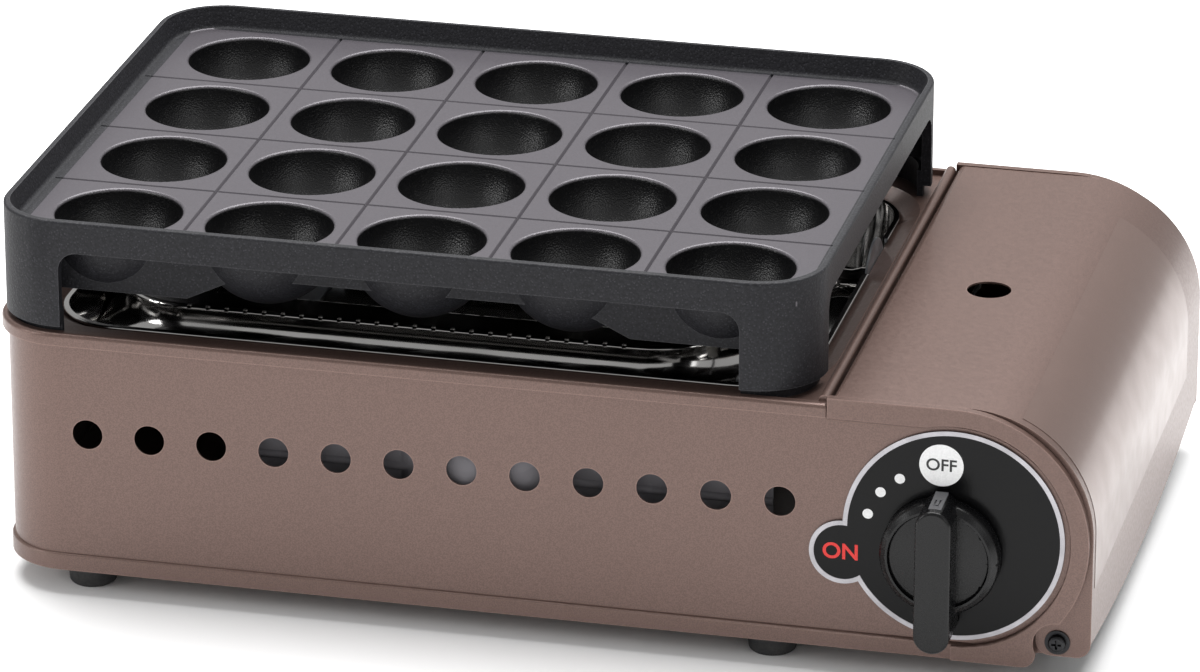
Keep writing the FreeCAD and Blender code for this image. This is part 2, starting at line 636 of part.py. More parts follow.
def tube_flange():
    """Round-topped plate that closes the tray's cut-out round the mixing tube."""
    x = FLANGE_X
    plate = rod(x, TUBE_Y, TUBE_Z, FLANGE_RADIUS, 0.8, AXIS_X)
    plate = plate.fuse(box(x, x + 0.8, TUBE_Y - FLANGE_RADIUS, TUBE_Y + FLANGE_RADIUS,
                           TUBE_Z - 6, TUBE_Z))
    plate = plate.cut(box(x - 1, x + 2, TUBE_Y - 30, TUBE_Y + 30, TUBE_Z - 30, TUBE_Z - 6))
    return plate.removeSplitter().cut(rod(x - 1, TUBE_Y, TUBE_Z, TUBE_RADIUS + 0.05, 3, AXIS_X))


# Gas feed and ignition


def nozzle_holder():
    block = box(NOZZLE_X, NOZZLE_X + 5, TUBE_Y - 8, TUBE_Y + 8, TUBE_Z - 8, TUBE_Z + 8)
    block = soften(block, 1.2, lambda e: abs(e.BoundBox.XLength - 5) < 1e-3)
    jet = rod(NOZZLE_X - 5, TUBE_Y, TUBE_Z, 2.2, 5, AXIS_X)
    arm = box(PARTITION_X + SHEET, NOZZLE_X + 5, TUBE_Y - 8, TUBE_Y + 8, TUBE_Z - 9.2, TUBE_Z - 8)
    pad = box(PARTITION_X + SHEET, PARTITION_X + SHEET + 1.2, TUBE_Y - 8, TUBE_Y + 8,
              TUBE_Z - 20, TUBE_Z - 8)
    holder = join([block, jet, arm, pad])
    bore = rod(NOZZLE_X - 6, TUBE_Y, TUBE_Z, 0.6, 12, AXIS_X)
    seat = rod(NOZZLE_X + 2.5, TUBE_Y - 9, TUBE_Z, PIPE_RADIUS + 0.05, 9, AXIS_Y)
    return holder.cut(bore).cut(seat)


def pipe_run(points, radius, name):
    """Round tube on straight runs joined by tangent arcs, each as large as its two runs allow."""
    bends = []
    edges = []
    here = points[0]
    for index in range(1, len(points) - 1):
        corner = points[index]
        into = (corner - points[index - 1])
        away = (points[index + 1] - corner)
        turn = into.getAngle(away)
        bend = 0.45 * min(into.Length, away.Length) / math.tan(turn / 2)
        bend = min(bend, PIPE_BEND)
        bends.append(round(bend, 1))
        back = bend * math.tan(turn / 2)
        first = corner - into.normalize() * back
        last = corner + away.normalize() * back
        inward = (last - corner).normalize() + (first - corner).normalize()
        centre = corner + inward.normalize() * (bend / math.cos(turn / 2))
        middle = centre + (corner - centre).normalize() * bend
        edges.append(Part.LineSegment(here, first).toShape())
        edges.append(Part.Arc(first, middle, last).toShape())
        here = last
    edges.append(Part.LineSegment(here, points[-1]).toShape())
    print(name, "arc radii", bends)
    path = Part.Wire(edges)
    direction = (points[1] - points[0]).normalize()
    section = Part.Wire(Part.makeCircle(radius, points[0], direction))
    return path.makePipeShell([section], True, False)


def gas_pipe():
    x = NOZZLE_X + 2.5
    points = [V(x, TUBE_Y - 5, TUBE_Z), V(x, BULKHEAD_Y + 30, TUBE_Z), V(x, BULKHEAD_Y - 4, 76.0),
              V(x + 12, BULKHEAD_Y - 22, 76.0), V(KNOB_X - 14, BULKHEAD_Y - 27, 76.0),
              V(KNOB_X - 14, BULKHEAD_Y - 27, VALVE_TOP)]
    return pipe_run(points, PIPE_RADIUS, "gas_pipe")


def pipe_nuts():
    """Union nuts at the two ends of the gas pipe."""
    nuts = []
    for centre, axis in ((V(NOZZLE_X + 2.5, TUBE_Y - 17, TUBE_Z), AXIS_Y),
                         (V(KNOB_X - 14, BULKHEAD_Y - 27, VALVE_TOP), AXIS_Z)):
        side = V(1, 0, 0)
        other = axis.cross(side)
        corners = []
        for i in range(6):
            angle = math.radians(60 * i)
            corners.append(centre + side * (5.2 * math.cos(angle)) + other * (5.2 * math.sin(angle)))
        nut = polygon(corners, axis * 7.0)
        start = centre - axis
        nuts.append(nut.cut(Part.makeCylinder(PIPE_RADIUS + 0.05, 10, start, axis)))
    return group(nuts)


def valve_body():
    """Cast gas valve behind the dial, bored for the knob's stem."""
    back = BULKHEAD_Y - SHEET
    front = -BODY_HALF_DEPTH + SHEET
    barrel = rod(KNOB_X, front + 3.5, KNOB_Z, 10.5, back - front - 3.5, AXIS_Y)
    block = box(KNOB_X - 21, KNOB_X + 6, BULKHEAD_Y - 34, back, KNOB_Z - 13, VALVE_TOP)
    block = soften(block, 2.0, lambda e: abs(e.BoundBox.YLength - (back - BULKHEAD_Y + 34)) < 1e-3)
    collar = rod(KNOB_X, front, KNOB_Z, 8.0, 4, AXIS_Y)
    body = join([barrel, block, collar])
    bore = rod(KNOB_X, front - 1, KNOB_Z, STEM_RADIUS + RUNNING_GAP, 24, AXIS_Y)
    return body.cut(bore)


def valve_bracket():
    """Upright bulkhead that closes the front of the canister bay and carries the valve."""
    left, right = PARTITION_X + SHEET, 196.0
    wall = box(left, right, BULKHEAD_Y - SHEET, BULKHEAD_Y, BODY_BOTTOM + SHEET, 97.0)
    foot = box(left, BASE_RIGHT - 1, BULKHEAD_Y - SHEET, BULKHEAD_Y + 12, BODY_BOTTOM + SHEET,
               BODY_BOTTOM + 2 * SHEET)
    bracket = join([wall, foot])
    clip = box(176, 215, BULKHEAD_Y - 5, BULKHEAD_Y + 5, 0, 28)
    round_end = rod(END_X, BULKHEAD_Y - 5, END_Z, 43.0, 10, AXIS_Y)
    keep = round_end.fuse(box(left, END_X, BULKHEAD_Y - 5, BULKHEAD_Y + 20, 0, 97))
    keep = keep.fuse(box(left, BASE_RIGHT, BULKHEAD_Y - 5, BULKHEAD_Y + 20, 0, END_Z))
    bracket = bracket.common(keep).cut(clip)
    neck = rod(CANISTER_X, BULKHEAD_Y - 5, CANISTER_Z, 8.0, 10, AXIS_Y)
    pipe = rod(NOZZLE_X + 2.5, BULKHEAD_Y - 10, 79.0, 6.0, 24, AXIS_Y)
    lead = rod(LEAD_X, BULKHEAD_Y - 10, LEAD_Z - 8, 3.0, 24, AXIS_Y)
    sill = box(left - 1, PARTITION_X + 10.2, BULKHEAD_Y - 5, BULKHEAD_Y + 20, 0, BODY_BOTTOM + 2 * SHEET)
    return bracket.cut(group([neck, pipe, sill])).cut(lead)


def governor():
    """Round pressure governor behind the bulkhead, which the canister's valve plugs into."""
    y0 = BULKHEAD_Y
    can = rod(CANISTER_X, y0, CANISTER_Z, 24.0, 8.0, AXIS_Y)
    can = soften(can, 2.0, lambda e: e.Closed and abs(e.BoundBox.YMax - (y0 + 8)) < 1e-3)
    rim = rod(CANISTER_X, y0 + 2.5, CANISTER_Z, 26.0, 1.6, AXIS_Y)
    neck = rod(CANISTER_X, y0 + 8, CANISTER_Z, 7.0, 6.0, AXIS_Y)
    stub = rod(CANISTER_X, y0 - SHEET, CANISTER_Z, 7.9, SHEET + 1, AXIS_Y)
    body = join([can, rim, neck, stub])
    return body.cut(rod(CANISTER_X, y0 + 9, CANISTER_Z, 2.1, 6, AXIS_Y))


def magnet_ring():
    """Steel-faced magnet seat that holds the canister's rim, with the locating pin at the top."""
    y0 = BULKHEAD_Y + 8
    ring = rod(CANISTER_X, y0, CANISTER_Z, 15.5, 5.0, AXIS_Y)
    ring = ring.cut(rod(CANISTER_X, y0 - 1, CANISTER_Z, 9.0, 7, AXIS_Y))
    pin = box(CANISTER_X - 2.2, CANISTER_X + 2.2, y0, y0 + 8.5, CANISTER_Z + 10.5, CANISTER_Z + 14.5)
    return join([ring, pin])


def canister_cradle():
    """Sheet trough that the canister lies in, on two legs."""
    t = 0.8
    radius = CANISTER_RADIUS + 0.8
    length = CRADLE_REAR - CRADLE_FRONT
    trough = rod(CANISTER_X, CRADLE_FRONT, CANISTER_Z, radius + t, length, AXIS_Y)
    trough = trough.cut(rod(CANISTER_X, CRADLE_FRONT - 1, CANISTER_Z, radius, length + 2, AXIS_Y))
    trough = trough.common(box(CANISTER_X - 24, CANISTER_X + 24, -200, 200, 0, CANISTER_Z - 20))
    floor = BODY_BOTTOM + SHEET
    legs = []
    for x in (CANISTER_X - 16, CANISTER_X + 15.2):
        drop = math.sqrt(radius ** 2 - (x - CANISTER_X) ** 2)
        leg = box(x, x + t, CRADLE_FRONT, CRADLE_REAR, floor, CANISTER_Z - drop)
        legs.append(leg.cut(rod(CANISTER_X, CRADLE_FRONT - 1, CANISTER_Z, radius + 0.2, length + 2, AXIS_Y)))
        side = 1 if x > CANISTER_X else -1
        x0, x1 = sorted((x + (t if side < 0 else 0), x + side * 7))
        legs.append(box(x0, x1, CRADLE_FRONT, CRADLE_REAR, floor, floor + t))
    return join([trough] + legs)


def heat_plate():
    """Conducting strip that runs from under the plate down against the canister's side."""
    t = 1.0
    y0, y1 = 62.0, 88.0
    reach = CANISTER_RADIUS + 0.8
    arc = rod(CANISTER_X, y0, CANISTER_Z, reach + t, y1 - y0, AXIS_Y)
    arc = arc.cut(rod(CANISTER_X, y0 - 1, CANISTER_Z, reach, y1 - y0 + 2, AXIS_Y))
    arc = arc.common(box(CANISTER_X - 40, CANISTER_X - 26, y0, y1, 40, 84))
    x_in = CANISTER_X - math.sqrt((reach + t) ** 2 - 6.0 ** 2)
    tab = box(PARTITION_X + SHEET, x_in + 1.0, y0, y1, CANISTER_Z + 5.0, CANISTER_Z + 6.0)
    tab = tab.cut(rod(CANISTER_X, y0 - 1, CANISTER_Z, reach + 0.2, y1 - y0 + 2, AXIS_Y))
    pad = box(PARTITION_X + SHEET, PARTITION_X + SHEET + t, y0, y1, CANISTER_Z + 5.0, 92)
    return join([arc, tab, pad])


def piezo_igniter():
    """Spark unit clamped beside the valve, worked by the end of the knob's turn."""
    x0 = KNOB_X - 35
    case = box(x0, x0 + 13, BULKHEAD_Y - 33, BULKHEAD_Y - 3, KNOB_Z - 13, KNOB_Z + 7)
    case = soften(case, 1.5, lambda e: abs(e.BoundBox.YLength - 30) < 1e-3)
    link = box(x0 + 13, KNOB_X - 21, BULKHEAD_Y - 28, BULKHEAD_Y - 10, KNOB_Z - 9, KNOB_Z + 3)
    return join([case, link])


def ignition_lead():
    """Insulated lead from the spark unit, over the partition and to the foot of the electrode."""
    x0 = KNOB_X - 32.0
    points = [V(x0, BULKHEAD_Y - 18, KNOB_Z + 7), V(x0, BULKHEAD_Y - 18, LEAD_Z - 11),
              V(LEAD_X, BULKHEAD_Y - 1, LEAD_Z - 8), V(LEAD_X, LEAD_Y, LEAD_Z),
              V(PARTITION_X - 8, LEAD_Y, LEAD_Z),
              V(ELECTRODE_X + 14, LEAD_Y + 0.5, LEAD_Z - 2), V(ELECTRODE_X + 3.6, ELECTRODE_Y, LEAD_Z - 2)]
    return pipe_run(points, LEAD_RADIUS, "ignition_lead")


def electrode_ceramic():
    body = rod(ELECTRODE_X, ELECTRODE_Y, LEAD_Z - 7, 3.2, 15, AXIS_Z)
    rib = rod(ELECTRODE_X, ELECTRODE_Y, LEAD_Z + 2, 4.3, 2.0, AXIS_Z)
    body = soften(join([body, rib]), 0.8, lambda e: level_edge(e, LEAD_Z + 8))
    return body.cut(rod(ELECTRODE_X, ELECTRODE_Y, LEAD_Z - 8, 0.9, 20, AXIS_Z))


def electrode_wire():
    top = BURNER_TOP + 2.4
    wire = rod(ELECTRODE_X, ELECTRODE_Y, LEAD_Z - 6, 0.9, top - LEAD_Z + 6, AXIS_Z)
    tip = rod(ELECTRODE_X + 0.4, ELECTRODE_Y, top, 0.9, 9.0, V(-1, 0, 0.05))
    return join([wire, Part.makeSphere(0.9, V(ELECTRODE_X, ELECTRODE_Y, top)), tip])


def electrode_bracket():
    x0 = BURNER_RIGHT + 1.7
    plate = box(x0, ELECTRODE_X + 6, ELECTRODE_Y - 6, ELECTRODE_Y + 6, LEAD_Z + 0.2, LEAD_Z + 1.2)
    leg = box(ELECTRODE_X + 5, ELECTRODE_X + 6, ELECTRODE_Y - 6, ELECTRODE_Y + 6,
              TRAY_FLOOR + TRAY_SHEET, LEAD_Z + 1.2)
    foot = box(ELECTRODE_X - 4, ELECTRODE_X + 6, ELECTRODE_Y - 6, ELECTRODE_Y + 6,
               TRAY_FLOOR + TRAY_SHEET, TRAY_FLOOR + TRAY_SHEET + 1)
    bracket = join([plate, leg, foot])
    bracket = bracket.cut(rod(ELECTRODE_X, ELECTRODE_Y, LEAD_Z - 8, 3.2, 20, AXIS_Z))
    return bracket.cut(box(ELECTRODE_X, ELECTRODE_X + 10, ELECTRODE_Y - 2, ELECTRODE_Y + 3,
                           LEAD_Z - 4.2, LEAD_Z - 0.2))


# Dial and knob


def dial_region(y0, depth, shrink):
    disc = rod(END_X, y0, END_Z, DIAL_RADIUS - shrink, depth, AXIS_Y)
    lobe = rod(LOBE_X, y0, LOBE_Z, LOBE_RADIUS - shrink, depth, AXIS_Y)
    return disc.fuse(lobe).removeSplitter()


def dial_plate():
    y0 = -BODY_HALF_DEPTH - DIAL_THICK
    plate = dial_region(y0, DIAL_THICK, DIAL_BORDER + 0.05)
    return plate.cut(rod(KNOB_X, y0 - 1, KNOB_Z, STEM_RADIUS + 1.2, 3, AXIS_Y))


def dial_ring():
    thick = DIAL_THICK + 0.2
    y0 = -BODY_HALF_DEPTH - thick
    return dial_region(y0, thick, 0).cut(dial_region(y0 - 1, thick + 2, DIAL_BORDER))


def grip_outline(half, up, down, y0, depth):
    """Long bar with round ends, upright, as a prism along Y."""
    top = rod(KNOB_X, y0, KNOB_Z + up - half, half, depth, AXIS_Y)
    low = rod(KNOB_X, y0, KNOB_Z - down + half, half, depth, AXIS_Y)
    bar = box(KNOB_X - half, KNOB_X + half, y0, y0 + depth, KNOB_Z - down + half, KNOB_Z + up - half)
    return join([top, low, bar])


def knob_body():
    """Round skirt with a bevelled rim round a domed face, and the long bar grip across it."""
    crown = KNOB_RIM + 0.5
    face = KNOB_RIM + 1.7
    outline = [V(KNOB_X, KNOB_BACK, KNOB_Z), V(KNOB_X + KNOB_RADIUS, KNOB_BACK, KNOB_Z),
               V(KNOB_X + KNOB_RADIUS, KNOB_SHOULDER, KNOB_Z), V(KNOB_X + KNOB_RIM_RADIUS, KNOB_RIM, KNOB_Z),
               V(KNOB_X + KNOB_FACE_RADIUS + 0.5, KNOB_RIM, KNOB_Z), V(KNOB_X + KNOB_FACE_RADIUS, face, KNOB_Z)]
    edges = [Part.LineSegment(a, b).toShape() for a, b in zip(outline, outline[1:])]
    dome = (outline[-1], V(KNOB_X + KNOB_FACE_RADIUS / 2, crown + (face - crown) / 4, KNOB_Z),
            V(KNOB_X, crown, KNOB_Z))
    edges.append(Part.Arc(*dome).toShape())
    edges.append(Part.LineSegment(dome[2], outline[0]).toShape())
    skirt = Part.Face(Part.Wire(edges)).revolve(V(KNOB_X, 0, KNOB_Z), AXIS_Y, 360)
    grip = grip_outline(GRIP_HALF, GRIP_UP, GRIP_DOWN, GRIP_FRONT, KNOB_BACK - GRIP_FRONT)
    grip = soften(grip, 1.3, lambda e: abs(e.BoundBox.YMax - GRIP_FRONT) < 1e-3)
    knob = join([skirt, grip])
    seat = box(KNOB_X - INDEX_HALF, KNOB_X + INDEX_HALF, INDEX_FRONT, INDEX_BACK,
               KNOB_Z + GRIP_UP - 1.6, KNOB_Z + GRIP_UP + 3)
    stem = rod(KNOB_X, KNOB_BACK - 9, KNOB_Z, STEM_RADIUS, 12, AXIS_Y)
    return knob.cut(seat).cut(stem)


def knob_pointer():
    """Pale index let into the top of the bar, with a shallow mark in it."""
    x0, x1 = KNOB_X - INDEX_HALF, KNOB_X + INDEX_HALF
    low = KNOB_Z + GRIP_UP - 1.6
    front_top = low + 1.5
    back_top = low + 2.3
    side = [V(x0, INDEX_FRONT, low), V(x0, INDEX_BACK, low), V(x0, INDEX_BACK, back_top),
            V(x0, INDEX_FRONT, front_top)]
    index = polygon(side, V(x1 - x0, 0, 0))
    mark = box(KNOB_X - 1.1, KNOB_X + 1.1, INDEX_FRONT + 2.5, INDEX_FRONT + 7.5, low + 1.3, low + 5)
    mark = mark.cut(box(KNOB_X - 0.45, KNOB_X + 0.45, INDEX_FRONT + 3.6, INDEX_FRONT + 7.6, low, low + 5))
    return index.cut(mark)


def valve_spindle():
    front = KNOB_BACK - 9
    back = -BODY_HALF_DEPTH + SHEET + 18
    stem = rod(KNOB_X, front, KNOB_Z, STEM_RADIUS, back - front, AXIS_Y)
    return stem


# Cover


def cover_profile(inset, y0, depth):
    """Closed section of the cover's outline, moved inward by inset."""
    left = COVER_LEFT + inset
    right = COVER_RIGHT - inset
    top = COVER_TOP - inset
    radius = COVER_RADIUS - inset
    cx, cz = COVER_RIGHT - COVER_RADIUS, COVER_TOP - COVER_RADIUS
    s = math.sqrt(0.5)
    small = max(2.5 - inset, 0.6)
    base = 0.0
    edges = [
        Part.LineSegment(V(left, y0, base), V(left, y0, top - small)).toShape(),
        Part.Arc(V(left, y0, top - small), V(left + small * (1 - s), y0, top - small * (1 - s)),
                 V(left + small, y0, top)).toShape(),
        Part.LineSegment(V(left + small, y0, top), V(cx, y0, top)).toShape(),
        Part.Arc(V(cx, y0, top), V(cx + radius * s, y0, cz + radius * s), V(right, y0, cz)).toShape(),
        Part.LineSegment(V(right, y0, cz), V(right, y0, base)).toShape(),
        Part.LineSegment(V(right, y0, base), V(left, y0, base)).toShape(),
    ]
    return Part.Face(Part.Wire(edges)).extrude(V(0, depth, 0))


def canister_cover():
    half = COVER_HALF_DEPTH
    skin = cover_profile(0, -half, 2 * half).cut(cover_profile(SHEET, -half - 1, 2 * half + 2))
    left_cut = box(COVER_LEFT - 1, COVER_LEFT + 20, -half - 1, half + 1, -1, COVER_TOP - 3.6)
    skin = skin.cut(left_cut)
    arc = Part.Arc(V(COVER_RIGHT - 5, -half - 1, COVER_EDGE_END), V(COVER_RIGHT - 5, 0, COVER_EDGE_MIDDLE),
                   V(COVER_RIGHT - 5, half + 1, COVER_EDGE_END)).toShape()
    low = COVER_EDGE_END - 40
    side = [V(COVER_RIGHT - 5, half + 1, COVER_EDGE_END), V(COVER_RIGHT - 5, half + 1, low),
            V(COVER_RIGHT - 5, -half - 1, low), V(COVER_RIGHT - 5, -half - 1, COVER_EDGE_END)]
    lines = [Part.LineSegment(a, b).toShape() for a, b in zip(side, side[1:])]
    trim = Part.Face(Part.Wire([arc] + lines)).extrude(V(8, 0, 0))
    skin = skin.cut(trim)
    pieces = [skin]
    for y0 in (-half, half - SHEET):
        band = cover_profile(0.2, y0, SHEET).cut(cover_profile(COVER_FLANGE, y0 - 1, SHEET + 2))
        band = band.cut(box(COVER_LEFT - 1, COVER_LEFT + 12, y0 - 1, y0 + 2, -1, COVER_TOP - 8))
        band = band.cut(box(COVER_LEFT - 1, COVER_RIGHT + 1, y0 - 1, y0 + 2, -1, 45))
        lug = box(LUG_LEFT, COVER_RIGHT, y0, y0 + SHEET, LUG_BOTTOM, 50)
        lug = soften(lug, 5.5, lambda e: level_edge(e, LUG_BOTTOM) and e.BoundBox.XLength < 1e-3)
        lug = lug.cut(rod(COVER_RIGHT - COVER_FLANGE - 23.0, y0 - 1, 48, 23.0, 3, AXIS_Y))
        pieces += [band, lug]
    cover = join(pieces)
    finger = rod(FINGER_X, FINGER_Y, COVER_TOP - 6, FINGER_RADIUS, 12, AXIS_Z)
    pivot = rod(PIVOT_X, -half - 2, PIVOT_Z, SHOULDER_RADIUS + RUNNING_GAP, 2 * half + 4, AXIS_Y)
    return cover.cut(finger).cut(pivot)


def cover_label():
    """Plain film on the curved side of the cover, from near the top edge down the wall."""
    film = 0.15
    y0, y1 = -COVER_HALF_DEPTH + 4.5, COVER_HALF_DEPTH - 30
    skin = cover_profile(-film - 0.02, y0, y1 - y0).cut(cover_profile(-0.02, y0 - 1, y1 - y0 + 2))
    cx, cz = COVER_RIGHT - COVER_RADIUS, COVER_TOP - COVER_RADIUS
    start = math.radians(66)
    upper = box(0, cx + COVER_RADIUS * math.cos(start), -200, 200, 0, 200)
    lower = box(0, 300, -200, 200, -10, 40)
    return skin.cut(upper).cut(lower)


def pivot_screws():
    """The two screws that the cover turns on, each with a shoulder for the cover's lug."""
    screws = []
    for side in (-1, 1):
        face = side * (COVER_HALF_DEPTH + 0.65)
        axis = V(0, side, 0)
        screw = pan_screw(PIVOT_X, face, PIVOT_Z, axis, 3.2, 2.1, SHOULDER_RADIUS - 0.6, 8.0)
        shoulder = rod(PIVOT_X, face, PIVOT_Z, SHOULDER_RADIUS, 0.65 + SHEET + 0.45, axis * -1)
        screws.append(join([screw, shoulder]))
    return group(screws)


def pivot_washers():
    washers = []
    for side in (-1, 1):
        y0 = side * (COVER_HALF_DEPTH + 0.65)
        ring = rod(PIVOT_X, y0, PIVOT_Z, 4.6, 0.5, V(0, -side, 0))
        washers.append(ring.cut(rod(PIVOT_X, y0 + side, PIVOT_Z, SHOULDER_RADIUS, 3, V(0, -side, 0))))
    return group(washers)


# Cast plate


def cup_centres():
    for column in range(CUP_COLUMNS):
        for row in range(CUP_ROWS):
            x = CUP_GRID_X + (column - (CUP_COLUMNS - 1) / 2) * CUP_PITCH_X
            y = ((CUP_ROWS - 1) / 2 - row) * CUP_PITCH_Y
            yield x, y


def cup_cutter():
    """Inside of one cup: a hemisphere under a rounded lip, turned about its own axis."""
    deck = PLATE_DECK
    neck = deck - CUP_LIP
    equator = neck - CUP_NECK
    s = math.sqrt(0.5)
    wide = CUP_RADIUS + CUP_LIP
    edges = [
        Part.LineSegment(V(0, 0, equator - CUP_RADIUS), V(0, 0, deck + 2)).toShape(),
        Part.LineSegment(V(0, 0, deck + 2), V(wide, 0, deck + 2)).toShape(),
        Part.LineSegment(V(wide, 0, deck + 2), V(wide, 0, deck)).toShape(),
        Part.Arc(V(wide, 0, deck), V(wide - CUP_LIP * s, 0, deck - CUP_LIP * (1 - s)),
                 V(CUP_RADIUS, 0, neck)).toShape(),
        Part.LineSegment(V(CUP_RADIUS, 0, neck), V(CUP_RADIUS, 0, equator)).toShape(),
        Part.Arc(V(CUP_RADIUS, 0, equator), V(CUP_RADIUS * s, 0, equator - CUP_RADIUS * s),
                 V(0, 0, equator - CUP_RADIUS)).toShape(),
    ]
    return Part.Face(Part.Wire(edges)).revolve(V(0, 0, 0), AXIS_Z, 360)


def cup_dome():
    """Outside of one cup under the deck."""
    equator = PLATE_DECK - CUP_LIP - CUP_NECK
    radius = CUP_RADIUS + PLATE_SKIN
    s = math.sqrt(0.5)
    top = PLATE_DECK - 1.0
    edges = [
        Part.LineSegment(V(0, 0, equator - radius), V(0, 0, top)).toShape(),
        Part.LineSegment(V(0, 0, top), V(radius, 0, top)).toShape(),
        Part.LineSegment(V(radius, 0, top), V(radius, 0, equator)).toShape(),
        Part.Arc(V(radius, 0, equator), V(radius * s, 0, equator - radius * s),
                 V(0, 0, equator - radius)).toShape(),
    ]
    return Part.Face(Part.Wire(edges)).revolve(V(0, 0, 0), AXIS_Z, 360)


def plate_web(y0):
    """Cast rib across the plate, deep beside the end cups and shallow between the middle ones."""
    x_wall = PLATE_HALF_X - PLATE_WALL / 2
    x_deep = PLATE_HALF_X - WEB_DEEP_REACH
    top = PLATE_DECK - 1.5
    points = [V(-x_wall, y0, top), V(-x_wall, y0, WEB_DEEP_Z), V(-x_deep, y0, WEB_DEEP_Z),
              V(-x_deep + WEB_CHAMFER, y0, WEB_SHALLOW_Z), V(x_deep - WEB_CHAMFER, y0, WEB_SHALLOW_Z),
              V(x_deep, y0, WEB_DEEP_Z), V(x_wall, y0, WEB_DEEP_Z), V(x_wall, y0, top)]
    return polygon([p + V(PLATE_CENTRE_X, 0, 0) for p in points], V(0, WEB_THICK, 0))


def window_cutter(x0, x1, y0, y1, across_x):
    """Wide opening in a side wall, open at the bottom, with rounded upper corners."""
    block = box(x0, x1, y0, y1, 90, WINDOW_TOP)
    if across_x:
        return soften(block, WINDOW_CORNER, lambda e: level_edge(e, WINDOW_TOP)
                      and abs(e.BoundBox.YLength - (y1 - y0)) < 1e-3)
    return soften(block, WINDOW_CORNER, lambda e: level_edge(e, WINDOW_TOP)
                  and abs(e.BoundBox.XLength - (x1 - x0)) < 1e-3)


def locating_lips():
    """Low inner lips under the four legs, which drop inside the frame's bead."""
    left = PLATE_CENTRE_X - PLATE_HALF_X + LIP_INSET
    right = PLATE_CENTRE_X + PLATE_HALF_X - LIP_INSET
    half = PLATE_HALF_Y - LIP_INSET
    corner = PLATE_CORNER - LIP_INSET
    low = LEDGE_Z + 0.1
    ring = slab(left, right, half, corner, low, PLATE_FOOT + 6)
    ring = ring.cut(slab(left + LIP_THICK, right - LIP_THICK, half - LIP_THICK, corner - LIP_THICK,
                         low - 1, PLATE_FOOT + 7))
    span_x = PLATE_HALF_X - LEG_X
    span_y = PLATE_HALF_Y - LEG_Y
    ring = ring.cut(box(PLATE_CENTRE_X - span_x, PLATE_CENTRE_X + span_x, -200, 200, 90, 130))
    return ring.cut(box(-300, 300, -span_y, span_y, 90, 130))


def takoyaki_plate():
    left = PLATE_CENTRE_X - PLATE_HALF_X
    right = PLATE_CENTRE_X + PLATE_HALF_X
    casting = slab(left, right, PLATE_HALF_Y, PLATE_CORNER, PLATE_FOOT, PLATE_TOP)
    casting = soften(casting, 1.0, lambda e: level_edge(e, PLATE_TOP))
    underside = PLATE_DECK - PLATE_SKIN
    hollow = slab(left + PLATE_WALL, right - PLATE_WALL, PLATE_HALF_Y - PLATE_WALL,
                  PLATE_CORNER - PLATE_WALL, PLATE_FOOT - 1, underside)
    well_low = rounded_wire(left + RIM_FOOT, right - RIM_FOOT, PLATE_HALF_Y - RIM_FOOT,
                            PLATE_CORNER - RIM_FOOT, PLATE_DECK)
    well_high = rounded_wire(left + RIM_TOP, right - RIM_TOP, PLATE_HALF_Y - RIM_TOP,
                             PLATE_CORNER - RIM_TOP, PLATE_TOP + 0.01)
    well = Part.makeLoft([well_low, well_high], True, True)
    well = soften(well, 1.8, lambda e: level_edge(e, PLATE_DECK))
    casting = casting.cut(hollow).cut(well)
    span_x = PLATE_HALF_X - LEG_X
    span_y = PLATE_HALF_Y - LEG_Y
    wide = window_cutter(PLATE_CENTRE_X - span_x, PLATE_CENTRE_X + span_x, -200, 200, True)
    deep = window_cutter(left - 5, right + 5, -span_y, span_y, False)
    frame_only = slab(left - 1, right + 1, PLATE_HALF_Y + 1, PLATE_CORNER, 80, underside)
    casting = casting.cut(wide.fuse(deep).common(frame_only))
    domes = []
    cups = []
    for x, y in cup_centres():
        dome = cup_dome()
        dome.translate(V(x, y, 0))
        domes.append(dome)
        cup = cup_cutter()
        cup.translate(V(x, y, 0))
        cups.append(cup)
    webs = [plate_web(-WEB_Y), plate_web(WEB_Y - WEB_THICK)]
    casting = casting.fuse(domes + webs + locating_lips().Solids)
    casting = casting.removeSplitter()
    grooves = []
    reach_y = PLATE_HALF_Y - RIM_FOOT - 1.5
    reach_x = PLATE_HALF_X - RIM_FOOT - 1.5
    z0, z1 = PLATE_DECK - GROOVE_DEPTH, PLATE_DECK + 0.2
    for i in range(1, CUP_COLUMNS):
        x = CUP_GRID_X + (i - CUP_COLUMNS / 2) * CUP_PITCH_X
        points = [V(x, -reach_y, z0), V(x + GROOVE_HALF, -reach_y, z1), V(x - GROOVE_HALF, -reach_y, z1)]
        grooves.append(polygon(points, V(0, 2 * reach_y, 0)))
    for j in range(1, CUP_ROWS):
        y = (j - CUP_ROWS / 2) * CUP_PITCH_Y
        start = PLATE_CENTRE_X - reach_x
        points = [V(start, y, z0), V(start, y + GROOVE_HALF, z1), V(start, y - GROOVE_HALF, z1)]
        grooves.append(polygon(points, V(2 * reach_x, 0, 0)))
    return casting.cut(cups).cut(grooves)


